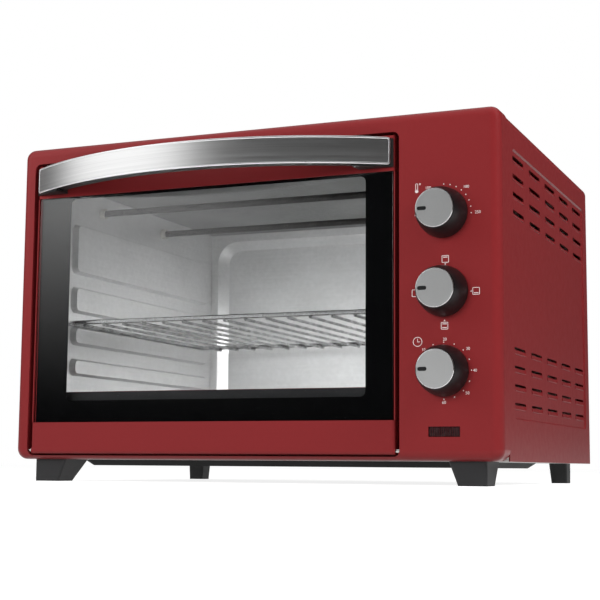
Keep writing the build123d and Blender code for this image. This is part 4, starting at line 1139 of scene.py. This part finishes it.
class OVEN_OT_pilot_lamp(bpy.types.Operator):
    """Colour the signal lens and the small lamp behind it"""

    bl_idname = "oven.pilot_lamp"
    bl_label = "Pilot Lamp"

    def execute(self, context):
        lamp = context.scene.oven_lamp
        dress(ribbed_lens("signal_lens", lamp.lens_dark, lamp.lens_light), "pilot_lens")
        dress(clear_glass("lamp_glass", lamp.bulb, roughness=0.05), "pilot_lamp")
        return {"FINISHED"}


class OVEN_OT_stage(bpy.types.Operator):
    """Set the ground, the lights and the camera"""

    bl_idname = "oven.stage"
    bl_label = "Stage"

    def execute(self, context):
        scene = context.scene
        stage = scene.oven_stage
        scene.view_settings.view_transform = "Standard"
        self.lay_ground(stage)
        self.light_room(scene, stage)
        for name, (azimuth, elevation, distance, size) in SOFTBOXES.items():
            towards = self.direction(azimuth, elevation)
            glow = getattr(stage, f"{name}_glow")
            self.hang_lamp(name, MIDDLE + towards * distance, towards, size, glow)
        self.light_cooking_space(stage)
        self.stand_card(stage)
        self.set_camera(scene, stage)
        return {"FINISHED"}

    def stand(self, name, points, faces, material):
        """A new sheet of the stage."""
        mesh = bpy.data.meshes.new(name)
        mesh.from_pydata(points.tolist(), [], faces)
        mesh.materials.append(material)
        return new_object(name, mesh)

    def lay_ground(self, stage):
        """A wide pale plane just under the feet, lifted to white where no shadow falls on it."""
        material = bpy.data.materials.new("pale_ground")
        material.use_nodes = True
        paint = Nodes(material.node_tree)
        shader = paint.tree.nodes["Principled BSDF"]
        paint.feed(shader, "Base Color", GROUND_GREY)
        paint.feed(shader, "Roughness", 0.9)
        paint.feed(shader, "Specular IOR Level", 0.0)
        strength = paint.spread(paint.seen_directly(), 0.0, GROUND_LIFT, span=(0.0, 1.0))
        lift = paint.add("ShaderNodeEmission", {"Strength": strength})
        both = {0: shader.outputs["BSDF"], 1: lift.outputs["Emission"]}
        paint.show(paint.add("ShaderNodeAddShader", both))
        half = stage.ground_size / 2
        corners = np.array([[-1, -1, 0], [1, -1, 0], [1, 1, 0], [-1, 1, 0]]) * half
        corners[:, 2] = GROUND_DROP
        ground = self.stand("ground", corners, [(0, 1, 2, 3)], material)

    def light_room(self, scene, stage):
        """Even light all round, and white where the camera, metal or glass looks past the oven."""
        scene.world = bpy.data.worlds.new("room")
        scene.world.use_nodes = True
        room = Nodes(scene.world.node_tree)
        background = room.tree.nodes["Background"]
        strength = room.spread(room.seen_directly(), stage.ambient, 1.0, span=(0.0, 1.0))
        room.feed(background, "Color", (1, 1, 1, 1))
        room.feed(background, "Strength", strength)

    def direction(self, azimuth, elevation):
        """Unit vector towards a place right of straight in front by azimuth, and above level."""
        turn, rise = math.radians(azimuth), math.radians(elevation)
        level = math.cos(rise)
        return Vector((math.sin(turn) * level, -math.cos(turn) * level, math.sin(rise)))

    def hang_lamp(self, name, place, back, size, glow):
        """A rectangular lamp that shines away from back, whose face has the brightness given."""
        data = bpy.data.lights.new(name, "AREA")
        data.shape = "RECTANGLE"
        data.size, data.size_y = size
        data.energy = glow * math.pi * size[0] * size[1]
        lamp = new_object(name, data)
        lamp.visible_glossy = False
        lamp.visible_transmission = False
        lamp.location = place
        lamp.rotation_euler = (-back).to_track_quat("-Z", "Y").to_euler()
        return lamp

    def light_cooking_space(self, stage):
        """Sheets of light inside the oven, unseen, for the daylight that a room sends in.

        The first stands before the right wall, where the gloss of the other walls shows it, and
        the second just behind the glass.
        """
        for name, (place, azimuth, elevation, size, share) in INNER_SHEETS.items():
            back = self.direction(azimuth, elevation)
            lamp = self.hang_lamp(name, Vector(place), back, size, share * stage.inner_glow)
            lamp.data.spread = math.radians(SHEET_OPENING)
            lamp.visible_glossy = name == "right_wall"
            lamp.visible_camera = False

    def stand_card(self, stage, radius=3.2, top=3.6, columns=145, rows=73):
        """A tall graded sheet round the whole object, which only metal, gloss and glass reflect.

        It is bright between two azimuths and dark elsewhere, and fades to the ground: brightness =
        low + peak * soft((azimuth - from) / edge) * soft((to - azimuth) / edge) * rise^2, where
        soft(x) climbs smoothly from 0 to 1 as x goes from -1/2 to 1/2, and rise is the elevation
        above the card's start as a share of its ramp. Behind the oven, low is the rear's level.
        """
        azimuth = np.linspace(-180, 180, columns)[:, None]
        height = np.linspace(0.0, top, rows)[None, :]
        edge = math.degrees(stage.card_edge)
        left = self.soft((azimuth - math.degrees(stage.card_from)) / edge)
        right = self.soft((math.degrees(stage.card_to) - azimuth) / edge)
        elevation = np.arctan2(height - stage.card_foot, radius)
        rise = np.clip((elevation - stage.card_start) / stage.card_ramp, 0, 1)
        low = np.where(np.abs(azimuth) > 90, stage.card_rear, stage.card_low)
        glow = low + stage.card_peak * left * right * rise**2
        angle = np.radians(azimuth) + 0 * height
        x = MIDDLE.x + radius * np.sin(angle)
        y = MIDDLE.y - radius * np.cos(angle)
        points = np.stack([x, y, height + 0 * angle], -1).reshape(-1, 3)
        material = bpy.data.materials.new("graded_cloth")
        material.use_nodes = True
        cloth = Nodes(material.node_tree)
        cloth.tree.nodes.remove(cloth.tree.nodes["Principled BSDF"])
        level = cloth.add("ShaderNodeAttribute", attribute_name="glow").outputs["Fac"]
        cloth.show(cloth.add("ShaderNodeEmission", {"Strength": level}))
        card = self.stand("graded_card", points, grid_faces(columns, rows).tolist(), material)
        values = card.data.attributes.new("glow", "FLOAT", "POINT")
        values.data.foreach_set("value", glow.ravel().astype(np.float32))
        card.visible_camera = False
        card.visible_diffuse = False
        card.visible_shadow = False

    def soft(self, x):
        """A smooth climb from 0 to 1: t^2 (3 - 2 t), where t is x + 1/2 kept from 0 to 1."""
        t = np.clip(x + 0.5, 0, 1)
        return t**2 * (3 - 2 * t)

    def set_camera(self, scene, stage):
        """The photograph's camera: turned left by its yaw, tilted up by its pitch, then rolled."""
        yaw, pitch, roll = stage.camera_yaw, stage.camera_pitch, stage.camera_roll
        level = math.cos(pitch)
        ahead = Vector((-math.sin(yaw) * level, math.cos(yaw) * level, math.sin(pitch)))
        right = Vector((math.cos(yaw), math.sin(yaw), 0))
        up = right.cross(ahead)
        rolled_right = math.cos(roll) * right + math.sin(roll) * up
        rolled_up = math.cos(roll) * up - math.sin(roll) * right
        data = bpy.data.cameras.new("camera")
        data.lens = stage.camera_lens
        data.sensor_width = 36.0
        data.clip_start = 0.05
        data.clip_end = 200.0
        camera = new_object("camera", data)
        turned = Matrix((rolled_right, rolled_up, -ahead)).transposed()
        camera.matrix_world = Matrix.Translation(Vector(stage.camera_place)) @ turned.to_4x4()
        scene.camera = camera


# Sidebar panel and registration

OPERATORS = (
    OVEN_OT_case,
    OVEN_OT_vents,
    OVEN_OT_small_metal,
    OVEN_OT_cooking_space,
    OVEN_OT_door_glass,
    OVEN_OT_handle,
    OVEN_OT_knobs,
    OVEN_OT_dial_marks,
    OVEN_OT_pilot_lamp,
    OVEN_OT_stage,
)
SETTINGS = {
    "oven_paint": OvenPaint,
    "oven_metal": OvenMetal,
    "oven_plastic": OvenPlastic,
    "oven_lamp": OvenLamp,
    "oven_vents": OvenVents,
    "oven_seal": OvenMouthShade,
    "oven_glass": OvenGlass,
    "oven_handle": OvenHandle,
    "oven_knobs": OvenKnobs,
    "oven_print": OvenPrint,
    "oven_stage": OvenStage,
}


class OVEN_PT_sidebar(bpy.types.Panel):
    """Buttons and settings of the oven"""

    bl_idname = "OVEN_PT_sidebar"
    bl_label = "Electric Table Oven"
    bl_space_type = "VIEW_3D"
    bl_region_type = "UI"
    bl_category = "Oven"

    def draw(self, context):
        layout = self.layout
        for operator in OPERATORS:
            layout.operator(operator.bl_idname)
        for name in SETTINGS:
            group = getattr(context.scene, name)
            box = layout.box()
            for key in group.bl_rna.properties.keys():
                if key not in ("name", "rna_type"):
                    box.prop(group, key)


def register():
    """Make the settings, the operators and the panel known."""
    for name, group in SETTINGS.items():
        bpy.utils.register_class(group)
        setattr(bpy.types.Scene, name, PointerProperty(type=group))
    for operator in OPERATORS:
        bpy.utils.register_class(operator)
    bpy.utils.register_class(OVEN_PT_sidebar)


def unregister():
    """Take them away again, in the other order."""
    bpy.utils.unregister_class(OVEN_PT_sidebar)
    for operator in reversed(OPERATORS):
        bpy.utils.unregister_class(operator)
    for name, group in reversed(SETTINGS.items()):
        delattr(bpy.types.Scene, name)
        bpy.utils.unregister_class(group)


def main():
    """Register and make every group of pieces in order."""
    register()
    bpy.ops.oven.case()
    bpy.ops.oven.vents()
    bpy.ops.oven.small_metal()
    bpy.ops.oven.cooking_space()
    bpy.ops.oven.door_glass()
    bpy.ops.oven.handle()
    bpy.ops.oven.knobs()
    bpy.ops.oven.dial_marks()
    bpy.ops.oven.pilot_lamp()
    bpy.ops.oven.stage()


if __name__ == "__main__":
    main()
